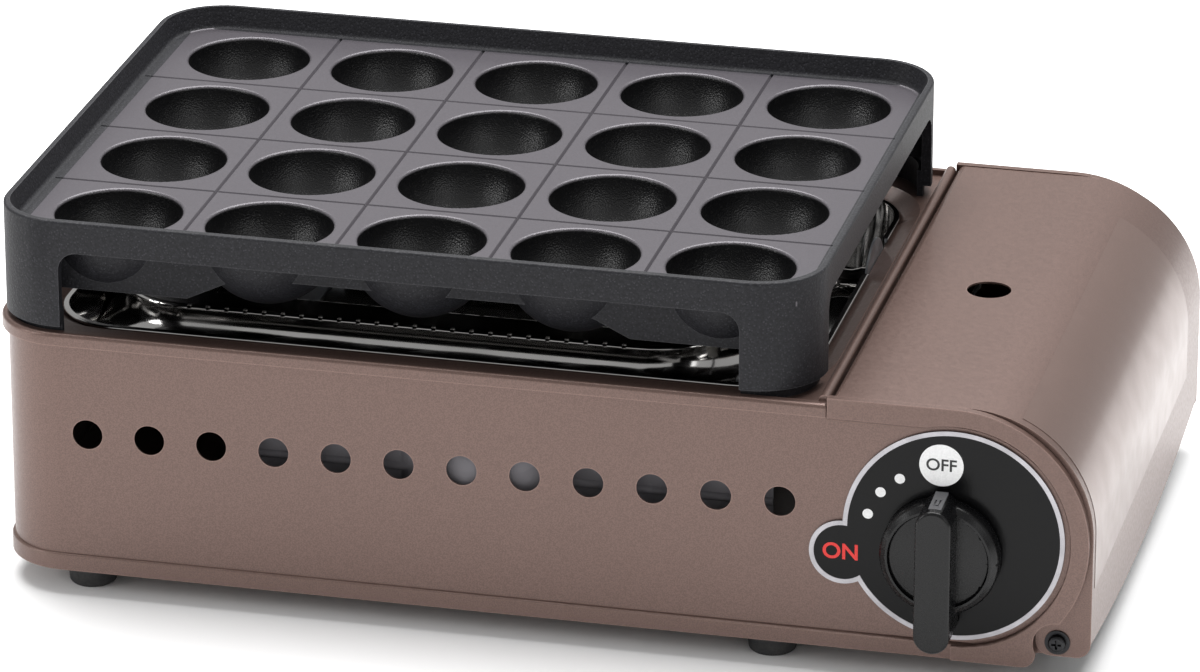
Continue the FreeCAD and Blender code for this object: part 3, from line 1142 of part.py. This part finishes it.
NODES = {
    "body_shell": body_shell,
    "top_frame": top_frame,
    "bottom_plate": bottom_plate,
    "rubber_feet": rubber_feet,
    "foot_screws": foot_screws,
    "partition_wall": partition_wall,
    "inner_shield": inner_shield,
    "drip_tray": drip_tray,
    "burner_base": burner_base,
    "burner_cap": burner_cap,
    "burner_stands": burner_stands,
    "mixing_tube": mixing_tube,
    "tube_flange": tube_flange,
    "nozzle_holder": nozzle_holder,
    "gas_pipe": gas_pipe,
    "pipe_nuts": pipe_nuts,
    "valve_body": valve_body,
    "valve_bracket": valve_bracket,
    "governor": governor,
    "magnet_ring": magnet_ring,
    "canister_cradle": canister_cradle,
    "heat_plate": heat_plate,
    "piezo_igniter": piezo_igniter,
    "ignition_lead": ignition_lead,
    "electrode_ceramic": electrode_ceramic,
    "electrode_wire": electrode_wire,
    "electrode_bracket": electrode_bracket,
    "dial_plate": dial_plate,
    "dial_ring": dial_ring,
    "knob_body": knob_body,
    "knob_pointer": knob_pointer,
    "valve_spindle": valve_spindle,
    "canister_cover": canister_cover,
    "cover_label": cover_label,
    "pivot_screws": pivot_screws,
    "pivot_washers": pivot_washers,
    "takoyaki_plate": takoyaki_plate,
}

os.makedirs("parts", exist_ok=True)
for node, make in NODES.items():
    shape = make()
    bounds = shape.BoundBox
    print(node, "valid" if shape.isValid() else "INVALID", len(shape.Solids), round(shape.Volume / 1000, 2), "cm3",
          "x", round(bounds.XMin, 1), round(bounds.XMax, 1), "y", round(bounds.YMin, 1), round(bounds.YMax, 1),
          "z", round(bounds.ZMin, 1), round(bounds.ZMax, 1))
    export(node, shape)
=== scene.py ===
import math

import bmesh
import bpy
from mathutils import Euler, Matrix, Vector


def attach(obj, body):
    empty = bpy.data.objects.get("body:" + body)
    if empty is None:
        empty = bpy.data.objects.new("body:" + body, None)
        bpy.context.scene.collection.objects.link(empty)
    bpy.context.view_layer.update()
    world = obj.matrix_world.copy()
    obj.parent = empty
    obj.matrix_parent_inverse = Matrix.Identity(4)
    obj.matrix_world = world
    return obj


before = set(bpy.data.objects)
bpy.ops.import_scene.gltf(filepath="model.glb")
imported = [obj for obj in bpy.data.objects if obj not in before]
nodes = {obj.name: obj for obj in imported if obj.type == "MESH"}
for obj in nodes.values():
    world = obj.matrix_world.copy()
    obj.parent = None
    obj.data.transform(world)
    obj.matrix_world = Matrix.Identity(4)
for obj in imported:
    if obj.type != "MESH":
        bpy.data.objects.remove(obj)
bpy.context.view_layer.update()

# Lengths below are in metres, in the CAD frame. ORIGIN moves sizes that are counted from the middle
# of the body's depth.
MM = 0.001
ORIGIN = Vector((-0.6, 9.1, 0.0)) * MM
CUP_GRID = Vector((-48.6, 0.0, 0.0)) * MM + ORIGIN
CUP_PITCH_X = 57.3 * MM
CUP_PITCH_Y = 56.6 * MM
GRID_HALF = Vector((145.0, 114.0, 0.0)) * MM
CUP_RADIUS = 23.4 * MM
CUP_LIP = 1.2 * MM
DECK_Z = 139.0 * MM
PANEL_Y = -119.5 * MM + ORIGIN.y
DIAL_FRONT = PANEL_Y - 0.8 * MM


# Camera at the photograph's viewing angle.

AZIMUTH = math.radians(13.64)
ELEVATION = math.radians(22.11)
DISTANCE = 2.667
SHIFT_RIGHT = -2.853 * MM
SHIFT_UP = 66.848 * MM
FOCAL_PIXELS = 7047.0
IMAGE_WIDTH = 1200
SENSOR_WIDTH = 36.0
NEAREST, FARTHEST = 0.1, 50.0


def add_camera():
    data = bpy.data.cameras.new("camera")
    data.sensor_fit = "HORIZONTAL"
    data.sensor_width = SENSOR_WIDTH
    data.lens = FOCAL_PIXELS / IMAGE_WIDTH * SENSOR_WIDTH
    data.clip_start = NEAREST
    data.clip_end = FARTHEST
    camera = bpy.data.objects.new("camera", data)
    turn = Euler((math.pi / 2 - ELEVATION, 0.0, AZIMUTH))
    camera.rotation_euler = turn
    camera.location = turn.to_matrix() @ Vector((SHIFT_RIGHT, SHIFT_UP, DISTANCE)) + ORIGIN
    bpy.context.scene.collection.objects.link(camera)
    bpy.context.scene.camera = camera


# Node helpers


class Graph:
    """A material's node tree, built by short calls."""

    def __init__(self, name):
        self.material = bpy.data.materials.new(name)
        self.material.use_nodes = True
        self.tree = self.material.node_tree
        self.tree.nodes.clear()
        self.output = self.tree.nodes.new("ShaderNodeOutputMaterial")
        self.shader = self.tree.nodes.new("ShaderNodeBsdfPrincipled")
        self.join(self.shader.outputs[0], self.output.inputs[0])
        self.coords = self.tree.nodes.new("ShaderNodeTexCoord").outputs["Object"]

    def join(self, source, target):
        self.tree.links.new(source, target)

    def put(self, socket, value):
        if isinstance(value, bpy.types.NodeSocket):
            self.join(value, socket)
        elif isinstance(value, (tuple, list)) and len(value) == 3 and socket.type == "RGBA":
            socket.default_value = (*value, 1.0)
        else:
            socket.default_value = value

    def set(self, **values):
        for name, value in values.items():
            self.put(self.shader.inputs[name.replace("_", " ")], value)

    def math(self, kind, a, b=0.0):
        node = self.tree.nodes.new("ShaderNodeMath")
        node.operation = kind
        for socket, value in zip(node.inputs, (a, b)):
            self.put(socket, value)
        return node.outputs[0]

    def product(self, first, *others):
        for other in others:
            first = self.math("MULTIPLY", first, other)
        return first

    def total(self, first, *others):
        for other in others:
            first = self.math("ADD", first, other)
        return first

    def within(self, value, limit):
        """1 where value is less than limit away from zero, and 0 elsewhere."""
        return self.math("LESS_THAN", self.math("ABSOLUTE", value), limit)

    def length(self, a, b):
        return self.math("SQRT", self.total(self.product(a, a), self.product(b, b)))

    def from_nearest(self, value, pitch, shift):
        """Signed distance to the nearest point of a row with this pitch.

        With a shift of 0.5 the row has a point at zero, and with none half a pitch either side of it.
        """
        steps = self.math("ADD", self.math("DIVIDE", value, pitch), WHOLE_PITCHES + shift)
        return self.product(self.math("SUBTRACT", self.math("FRACT", steps), 0.5), pitch)

    def parts(self, vector):
        node = self.tree.nodes.new("ShaderNodeSeparateXYZ")
        self.join(vector, node.inputs[0])
        return node.outputs

    def scaled(self, scale):
        node = self.tree.nodes.new("ShaderNodeMapping")
        self.join(self.coords, node.inputs["Vector"])
        node.inputs["Scale"].default_value = scale
        return node.outputs[0]

    def noise(self, size, detail=2.0, roughness=0.5, stretch=None):
        """Noise whose grains are about size metres across."""
        node = self.tree.nodes.new("ShaderNodeTexNoise")
        self.join(self.scaled(stretch) if stretch else self.coords, node.inputs["Vector"])
        node.inputs["Scale"].default_value = 1.0 / size
        node.inputs["Detail"].default_value = detail
        node.inputs["Roughness"].default_value = roughness
        return node.outputs["Fac"]

    def cells(self, size, output="Distance"):
        """Cells about size metres across."""
        node = self.tree.nodes.new("ShaderNodeTexVoronoi")
        self.join(self.coords, node.inputs["Vector"])
        node.inputs["Scale"].default_value = 1.0 / size
        return node.outputs[output]

    def band(self, value, low, high, out_low=0.0, out_high=1.0):
        """out_low below low, out_high above high, and a straight run between them."""
        node = self.tree.nodes.new("ShaderNodeMapRange")
        node.clamp = True
        for name, item in (("Value", value), ("From Min", low), ("From Max", high),
                           ("To Min", out_low), ("To Max", out_high)):
            self.put(node.inputs[name], item)
        return node.outputs[0]

    def mix(self, factor, a, b):
        node = self.tree.nodes.new("ShaderNodeMix")
        node.data_type = "RGBA"
        self.put(node.inputs[0], factor)
        self.put(node.inputs[6], a)
        self.put(node.inputs[7], b)
        return node.outputs[2]

    def bump(self, height, depth, strength=1.0, normal=None):
        """Bump whose full height is depth metres."""
        node = self.tree.nodes.new("ShaderNodeBump")
        node.inputs["Strength"].default_value = strength
        node.inputs["Distance"].default_value = depth
        self.join(height, node.inputs["Height"])
        if normal:
            self.join(normal, node.inputs["Normal"])
        return node.outputs[0]

    def edge_mask(self, radius):
        """Near 1 on edges, found from a bevelled normal and the plain one."""
        bevel = self.tree.nodes.new("ShaderNodeBevel")
        bevel.inputs["Radius"].default_value = radius
        geometry = self.tree.nodes.new("ShaderNodeNewGeometry")
        product = self.tree.nodes.new("ShaderNodeVectorMath")
        product.operation = "DOT_PRODUCT"
        self.join(bevel.outputs[0], product.inputs[0])
        self.join(geometry.outputs["Normal"], product.inputs[1])
        return self.band(product.outputs["Value"], 0.995, 0.86)


# Materials

PAINT_TINT = (0.138, 0.087, 0.073)
FILM_TINT = (0.144, 0.093, 0.078)
ROUGH_DARK = (0.008, 0.008, 0.010)
ROUGH_MIDDLE = (0.014, 0.014, 0.017)
ROUGH_LIGHT = (0.036, 0.036, 0.042)
DECK_DARK = (0.072, 0.066, 0.075)
DECK_LIGHT = (0.094, 0.086, 0.097)
CUP_DARK = (0.0035, 0.0035, 0.004)
CUP_GRAIN = (0.26, 0.25, 0.24)
# Paler grey painted on the casting's edges as a highlight.
EDGE_HIGHLIGHT_GREY = (0.16, 0.16, 0.17)

# Allowances of the casting's masks, and a whole number of pitches that keeps a row's steps positive.
CUP_SKIN = 0.5 * MM
DECK_SKIN = 0.15 * MM
RIM_WIDTH = 1.1 * MM
RIM_EDGE = 0.1 * MM
CUT_DEPTH = 0.5 * MM
DECK_BAND = 0.9 * MM
WHOLE_PITCHES = 20


def shade(tint, factor, lift=0.0):
    """The tint made lighter or darker, and lifted towards white."""
    return tuple(min(1.0, c * factor + lift) for c in tint)


def body_paint(name, tint):
    """Metallic baked paint: fine flakes, a slight orange peel, faint patches, and paler edges painted on as
    a highlight of the lit roundings.
    """
    g = Graph(name)
    flake = g.noise(0.45 * MM, 1.0, 0.6)
    patches = g.noise(90 * MM, 2.0, 0.5)
    base = g.mix(g.band(flake, 0.38, 0.62), shade(tint, 0.87), shade(tint, 1.13))
    base = g.mix(g.band(patches, 0.3, 0.7, 0.0, 0.10), base, shade(tint, 0.8))
    # The paint is made paler along the edges: a painted highlight where the roundings of the sheet catch
    # the light.
    base = g.mix(g.product(g.edge_mask(0.8 * MM), 0.40), base, shade(tint, 2.4, 0.03))
    peel = g.noise(1.6 * MM, 2.0, 0.5)
    normal = g.bump(peel, 0.02 * MM, 0.5)
    normal = g.bump(flake, 0.01 * MM, 0.5, normal)
    g.set(Base_Color=base, Metallic=0.55, Roughness=g.band(peel, 0.3, 0.7, 0.36, 0.44),
          Coat_Weight=0.18, Coat_Roughness=0.16, Normal=normal)
    return g.material


def casting_masks(g):
    """Masks that are 1 in the cups, on the cups' rims and on the deck between the cups."""
    x, y, z = g.parts(g.coords)
    across = g.math("SUBTRACT", x, CUP_GRID.x)
    along = g.math("SUBTRACT", y, CUP_GRID.y)
    from_axis = g.length(g.from_nearest(across, CUP_PITCH_X, 0.5), g.from_nearest(along, CUP_PITCH_Y, 0.0))
    from_centre = g.length(from_axis, g.math("SUBTRACT", z, DECK_Z - CUP_LIP))
    on_grid = g.product(g.within(across, GRID_HALF.x), g.within(along, GRID_HALF.y))
    in_cup = g.product(g.math("LESS_THAN", from_centre, CUP_RADIUS + CUP_SKIN), on_grid,
                       g.math("LESS_THAN", z, DECK_Z - DECK_SKIN))
    rim = g.product(in_cup, g.band(z, DECK_Z - RIM_WIDTH, DECK_Z - CUT_DEPTH),
                    g.band(from_axis, CUP_RADIUS - RIM_WIDTH, CUP_RADIUS - RIM_EDGE))
    near_deck = g.within(g.math("SUBTRACT", z, DECK_Z - CUT_DEPTH), DECK_BAND)
    deck = g.product(near_deck, on_grid, g.math("SUBTRACT", 1.0, in_cup))
    return in_cup, rim, deck


def casting():
    """Coated casting: rough speckled outside, satin deck, and near-black cups with bright grains."""
    g = Graph("coated_casting")
    in_cup, rim, deck = casting_masks(g)
    outside = g.math("SUBTRACT", 1.0, g.math("MAXIMUM", deck, in_cup))

    grain = g.noise(1.1 * MM, 3.0, 0.65)
    speckle = g.cells(1.1 * MM)
    fine = g.noise(0.4 * MM, 2.0, 0.6)
    dots = g.cells(0.62 * MM)
    pick = g.noise(2.1 * MM, 1.0, 0.5)
    sparkle = g.product(g.band(dots, 0.0, 0.20, 1.0, 0.0), g.band(pick, 0.38, 0.62))

    rough_base = g.mix(g.band(speckle, 0.16, 0.40, 1.0, 0.0), ROUGH_DARK, ROUGH_LIGHT)
    rough_base = g.mix(g.band(grain, 0.40, 0.62), rough_base, ROUGH_MIDDLE)
    deck_base = g.mix(g.band(fine, 0.35, 0.65), DECK_DARK, DECK_LIGHT)
    cup_base = g.mix(sparkle, CUP_DARK, CUP_GRAIN)
    cup_base = g.mix(g.product(rim, 0.7), cup_base, DECK_LIGHT)
    base = g.mix(in_cup, g.mix(deck, rough_base, deck_base), cup_base)
    # Paler grey along the casting's edges: a painted highlight of the lit edge roundings.
    base = g.mix(g.product(g.edge_mask(0.5 * MM), 0.30), base, EDGE_HIGHLIGHT_GREY)

    height = g.total(g.product(g.total(g.product(grain, 0.7), g.product(speckle, 0.3)), outside),
                     g.product(fine, deck, 0.05),
                     g.product(g.math("SUBTRACT", 1.0, dots), in_cup, 0.34))
    g.set(Base_Color=base, Metallic=g.total(g.product(deck, 0.35), g.product(sparkle, in_cup, 0.8)),
          Roughness=g.total(0.56, g.product(deck, -0.22), g.product(in_cup, -0.24)),
          Specular_IOR_Level=g.total(0.26, g.product(g.math("MAXIMUM", deck, in_cup), 0.20)),
          Normal=g.bump(height, 0.35 * MM, 0.8))
    return g.material


def polished(name, tint, rough=0.05):
    """Mirror-like steel with faint smears and a very slight waviness of the sheet."""
    g = Graph(name)
    smear = g.noise(30 * MM, 3.0, 0.6)
    wavy = g.noise(30 * MM, 1.0, 0.4)
    g.set(Base_Color=g.mix(g.band(smear, 0.3, 0.7), tint, shade(tint, 0.88)), Metallic=1.0,
          Roughness=g.band(smear, 0.25, 0.75, rough * 0.7, rough * 1.6),
          Normal=g.bump(wavy, 0.3 * MM, 0.3))
    return g.material


def galvanised(name, tint=(0.50, 0.52, 0.55), metallic=0.92, dull=0.0):
    """Bare zinc-coated sheet with crystal patches of different shade."""
    g = Graph(name)
    spangle = g.tree.nodes.new("ShaderNodeSeparateColor")
    g.join(g.cells(6 * MM, "Color"), spangle.inputs[0])
    darkness, roughness = spangle.outputs[0], spangle.outputs[1]
    fine = g.noise(0.6 * MM, 2.0, 0.6)
    g.set(Base_Color=g.mix(g.band(darkness, 0.0, 1.0, 0.0, 0.5), tint, shade(tint, 0.72)),
          Metallic=metallic, Roughness=g.band(roughness, 0.0, 1.0, 0.30 + dull, 0.46 + dull),
          Normal=g.bump(fine, 0.02 * MM, 0.5))
    return g.material


def cast_alloy(name, tint=(0.42, 0.42, 0.43), metallic=0.85):
    """Die casting with a fine grain and faint stains."""
    g = Graph(name)
    grain = g.noise(1.2 * MM, 3.0, 0.6)
    stain = g.noise(14 * MM, 2.0, 0.5)
    g.set(Base_Color=g.mix(g.band(stain, 0.3, 0.7), tint, shade(tint, 0.8)), Metallic=metallic,
          Roughness=g.band(grain, 0.3, 0.7, 0.38, 0.55), Normal=g.bump(grain, 0.12 * MM, 0.6))
    return g.material


def turned(name, tint, rough=0.28):
    """Lathe-turned metal with fine rings."""
    g = Graph(name)
    rings = g.noise(0.4 * MM, 2.0, 0.6, stretch=(1.0, 6.0, 1.0))
    stain = g.noise(8 * MM, 2.0, 0.5)
    g.set(Base_Color=g.mix(g.band(stain, 0.3, 0.7), tint, shade(tint, 0.75)), Metallic=1.0,
          Roughness=g.band(rings, 0.3, 0.7, rough * 0.8, rough * 1.3),
          Normal=g.bump(rings, 0.01 * MM, 0.6))
    return g.material


def moulded(name, tint, rough, grain=0.7 * MM, depth=0.03 * MM, painted_edge_highlight=True, shine=0.5):
    """Moulded plastic with a fine erosion texture, and slightly brighter edges painted on as a highlight.
    """
    g = Graph(name)
    fine = g.noise(grain, 2.0, 0.6)
    cloud = g.noise(20 * MM, 2.0, 0.5)
    base = g.mix(g.band(cloud, 0.3, 0.7, 0.0, 0.5), tint, shade(tint, 0.78))
    if painted_edge_highlight:
        # Brighter edges: a painted highlight where the roundings catch the light.
        base = g.mix(g.product(g.edge_mask(0.6 * MM), 0.5), base, shade(tint, 1.8, 0.012))
    g.set(Base_Color=base, Roughness=g.band(fine, 0.3, 0.7, rough * 0.88, rough * 1.15),
          Specular_IOR_Level=shine, Normal=g.bump(fine, depth, 0.7))
    return g.material


def rubber(name, tint=(0.020, 0.020, 0.021), dust_tint=(0.055, 0.052, 0.048)):
    """Matt rubber with a little dust."""
    g = Graph(name)
    fine = g.noise(0.9 * MM, 3.0, 0.6)
    dust = g.noise(6 * MM, 3.0, 0.6)
    g.set(Base_Color=g.mix(g.band(dust, 0.45, 0.75, 0.0, 0.5), tint, dust_tint),
          Roughness=g.band(fine, 0.3, 0.7, 0.62, 0.82), Normal=g.bump(fine, 0.08 * MM, 0.7))
    return g.material


def sleeve(name, thread=(0.62, 0.58, 0.50), gap=(0.34, 0.31, 0.26)):
    """Woven heat-proof sleeve."""
    g = Graph(name)
    weave = g.cells(0.6 * MM)
    g.set(Base_Color=g.mix(g.band(weave, 0.1, 0.5), thread, gap),
          Roughness=g.band(weave, 0.1, 0.5, 0.7, 0.9), Normal=g.bump(weave, 0.1 * MM, 0.8))
    return g.material


def glazed(name, light=(0.84, 0.82, 0.77), dark=(0.74, 0.71, 0.65)):
    """Glazed white ceramic."""
    g = Graph(name)
    cloud = g.noise(4 * MM, 2.0, 0.5)
    g.set(Base_Color=g.mix(g.band(cloud, 0.3, 0.7), light, dark), Coat_Weight=0.4,
          Roughness=g.band(cloud, 0.3, 0.7, 0.12, 0.22), Normal=g.bump(cloud, 0.05 * MM, 0.4))
    return g.material


def film(name, tint):
    """Plain clear film over the paint: the paint's colour, smoother and a little paler."""
    g = Graph(name)
    flake = g.noise(0.45 * MM, 1.0, 0.6)
    ripple = g.noise(12 * MM, 2.0, 0.5)
    g.set(Base_Color=g.mix(g.band(flake, 0.38, 0.62), tint, shade(tint, 1.1)), Metallic=0.5,
          Roughness=g.band(ripple, 0.3, 0.7, 0.30, 0.36), Coat_Weight=0.25, Coat_Roughness=0.12,
          Normal=g.bump(ripple, 0.06 * MM, 0.4))
    return g.material


def printed(name, tint, rough=0.45):
    """Screen-printed ink, with the slight unevenness of a thin coat."""
    g = Graph(name)
    fine = g.noise(0.6 * MM, 2.0, 0.6)
    g.set(Base_Color=g.mix(g.band(fine, 0.35, 0.65), tint, shade(tint, 0.9)),
          Roughness=g.band(fine, 0.3, 0.7, rough * 0.9, rough * 1.1),
          Normal=g.bump(fine, 0.01 * MM, 0.5))
    return g.material


def backdrop(name, tint):
    """Matt paper, very slightly uneven."""
    g = Graph(name)
    cloud = g.noise(600 * MM, 2.0, 0.5)
    g.set(Base_Color=g.mix(g.band(cloud, 0.3, 0.7), tint, shade(tint, 0.985)), Roughness=0.85)
    return g.material


PAINT = body_paint("body_paint", PAINT_TINT)
SHINE = polished("polished_steel", (0.60, 0.58, 0.56))
TRAY = polished("tray_steel", (0.52, 0.51, 0.50), 0.10)
ZINC = galvanised("galvanised")
# The inner shield's zinc is darkened far below the plain galvanised sheet: painted shade for the dark
# inside of the body behind the vents.
SHADED_SHIELD = galvanised("shield_zinc_shaded", (0.150, 0.142, 0.154), 0.15, 0.34)
ALLOY = cast_alloy("die_cast")
STRIP = galvanised("conductor", (0.62, 0.62, 0.63))
BRASS = turned("brass", (0.62, 0.44, 0.18))
STEEL = turned("turned_steel", (0.60, 0.60, 0.61))
BLACK_STEEL = turned("black_screws", (0.035, 0.035, 0.037), 0.34)
KNOB = moulded("black_plastic", (0.0040, 0.0040, 0.0044), 0.26, shine=0.28)
DIAL = moulded("dial_black", (0.0030, 0.0030, 0.0033), 0.22, 0.5 * MM, 0.01 * MM, False, 0.16)
RING = turned("dial_silver", (0.40, 0.39, 0.41), 0.32)
INDEX = moulded("pointer_grey", (0.075, 0.075, 0.080), 0.36)
RUBBER = rubber("foot_rubber")
CERAMIC = glazed("ceramic")
SLEEVE = sleeve("lead_sleeve")
FILM = film("label_film", FILM_TINT)
CASTING = casting()

FINISH = {
    "body_shell": PAINT, "top_frame": PAINT, "bottom_plate": PAINT, "partition_wall": PAINT,
    "canister_cover": PAINT, "rubber_feet": RUBBER, "foot_screws": STEEL, "inner_shield": SHADED_SHIELD,
    "drip_tray": TRAY, "burner_base": TRAY, "burner_cap": TRAY, "burner_stands": ZINC,
    "mixing_tube": SHINE, "tube_flange": ZINC, "nozzle_holder": BRASS, "gas_pipe": SHINE,
    "pipe_nuts": BRASS, "valve_body": ALLOY, "valve_bracket": ZINC, "governor": ALLOY,
    "magnet_ring": ZINC, "canister_cradle": ZINC, "heat_plate": STRIP, "piezo_igniter": KNOB,
    "ignition_lead": SLEEVE, "electrode_ceramic": CERAMIC, "electrode_wire": STEEL,
    "electrode_bracket": ZINC, "dial_plate": DIAL, "dial_ring": RING, "knob_body": KNOB,
    "knob_pointer": INDEX, "valve_spindle": STEEL, "cover_label": FILM, "pivot_screws": BLACK_STEEL,
    "pivot_washers": BLACK_STEEL, "takoyaki_plate": CASTING,
}


def finish_nodes():
    """Give each CAD node its material, and close the seams between its faces."""
    for name, obj in nodes.items():
        material = FINISH[name]
        if not obj.material_slots:
            obj.data.materials.append(material)
        for slot in obj.material_slots:
            slot.material = material
        weld = obj.modifiers.new("weld", "WELD")
        weld.merge_threshold = 0.001 * MM


# Printed marks on the dial, in millimetres along X and Z

OFF_DISC, OFF_RADIUS = (150.6, 84.6), 8.0
OFF_WORD, OFF_HEIGHT = (150.6, 84.5), 6.4
ON_WORD, ON_HEIGHT = (114.6, 47.4), 8.4
DOTS, DOT_RADIUS = ((135.7, 78.0), (128.8, 72.1), (124.3, 63.3)), 1.9
INK_EDGE = 0.10 * MM
WORD_DEPTH = 0.02 * MM
DISC_SIDES = 64


def mesh_piece(name, build, material, body):
    bm = bmesh.new()
    build(bm)
    mesh = bpy.data.meshes.new(name)
    bm.to_mesh(mesh)
    bm.free()
    obj = bpy.data.objects.new(name, mesh)
    bpy.context.scene.collection.objects.link(obj)
    mesh.materials.append(material)
    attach(obj, body)
    return obj


def on_dial(x, z, lift):
    """The point at x and z, in millimetres, lifted off the dial's face."""
    return Vector((x * MM + ORIGIN.x, DIAL_FRONT - lift, z * MM))


def ink_disc(name, x, z, radius, material, lift):
    """Thin disc of ink on the dial's face, with a slightly rounded edge."""
    rings = ((radius * MM, 0.0), (radius * MM - 0.3 * INK_EDGE, 0.8 * lift), (radius * MM - INK_EDGE, lift))

    def ring(bm, r, up):
        angles = (2 * math.pi * i / DISC_SIDES for i in range(DISC_SIDES))
        return [bm.verts.new(on_dial(x, z, up) + Vector((r * math.cos(a), 0.0, r * math.sin(a))))
                for a in angles]

    def build(bm):
        loops = [ring(bm, r, up) for r, up in rings]
        for outer, inner in zip(loops, loops[1:]):
            for i in range(DISC_SIDES):
                after = (i + 1) % DISC_SIDES
                bm.faces.new((outer[i], outer[after], inner[after], inner[i]))
        bm.faces.new(loops[-1])
        bm.normal_update()

    return mesh_piece(name, build, material, "base")


def ink_word(name, text, x, z, height, material, lift, bold):
    """Generic lettering in the built-in face, laid on the dial."""
    curve = bpy.data.curves.new(name, "FONT")
    curve.body = text
    curve.align_x = "CENTER"
    curve.align_y = "CENTER"
    curve.size = height * MM
    curve.extrude = WORD_DEPTH
    curve.offset = bold
    obj = bpy.data.objects.new(name, curve)
    obj.rotation_euler = (math.pi / 2, 0, 0)
    obj.location = on_dial(x, z, lift)
    bpy.context.scene.collection.objects.link(obj)
    curve.materials.append(material)
    bpy.context.view_layer.update()
    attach(obj, "base")
    return obj


def dial_marks():
    white = printed("ink_white", (0.82, 0.82, 0.82))
    red = printed("ink_red", (0.72, 0.02, 0.015))
    black = printed("ink_black", (0.012, 0.012, 0.013))
    ink_disc("off_disc", *OFF_DISC, OFF_RADIUS, white, 0.05 * MM)
    for i, dot in enumerate(DOTS):
        ink_disc(f"dial_dot_{i + 1}", *dot, DOT_RADIUS, white, 0.05 * MM)
    ink_word("off_word", "OFF", *OFF_WORD, OFF_HEIGHT, black, 0.07 * MM, 0.10 * MM)
    ink_word("on_word", "ON", *ON_WORD, ON_HEIGHT, red, 0.03 * MM, 0.18 * MM)


# Floor and light

FLOOR_HALF = 6.0
FLOOR_TINT = (0.95, 0.95, 0.95)
SKY_STRENGTH = 0.50

# Name, place, aim, width, height and watts of each soft light.
LIGHTS = (
    ("overhead", (-0.05, 0.50, 1.7), (0.0, 0.0, 0.10), 2.0, 1.6, 76),
    ("front_left", (-1.6, -1.0, 0.8), (0.0, 0.0, 0.08), 0.7, 0.7, 9),
    ("front_right", (1.6, -1.4, 0.9), (0.1, 0.0, 0.08), 0.9, 1.0, 4),
)


def add_stage():
    mesh = bpy.data.meshes.new("floor")
    corners = [(x * FLOOR_HALF, y * FLOOR_HALF, 0) for x, y in ((-1, -1), (1, -1), (1, 1), (-1, 1))]
    mesh.from_pydata(corners, [], [(0, 1, 2, 3)])
    floor = bpy.data.objects.new("floor", mesh)
    bpy.context.scene.collection.objects.link(floor)
    mesh.materials.append(backdrop("floor_white", FLOOR_TINT))


def soft_light(name, place, aim, width, height, watts):
    data = bpy.data.lights.new(name, "AREA")
    data.shape = "RECTANGLE"
    data.size = width
    data.size_y = height
    data.energy = watts
    light = bpy.data.objects.new(name, data)
    light.location = place
    light.rotation_euler = (Vector(aim) - Vector(place)).to_track_quat("-Z", "Y").to_euler()
    bpy.context.scene.collection.objects.link(light)


def add_light():
    world = bpy.data.worlds.new("studio")
    bpy.context.scene.world = world
    world.use_nodes = True
    background = world.node_tree.nodes["Background"]
    background.inputs["Color"].default_value = (1.0, 1.0, 1.0, 1.0)
    background.inputs["Strength"].default_value = SKY_STRENGTH
    for light in LIGHTS:
        soft_light(*light)


add_camera()
finish_nodes()
dial_marks()
add_stage()
add_light()
bpy.context.scene.view_settings.view_transform = "Standard"
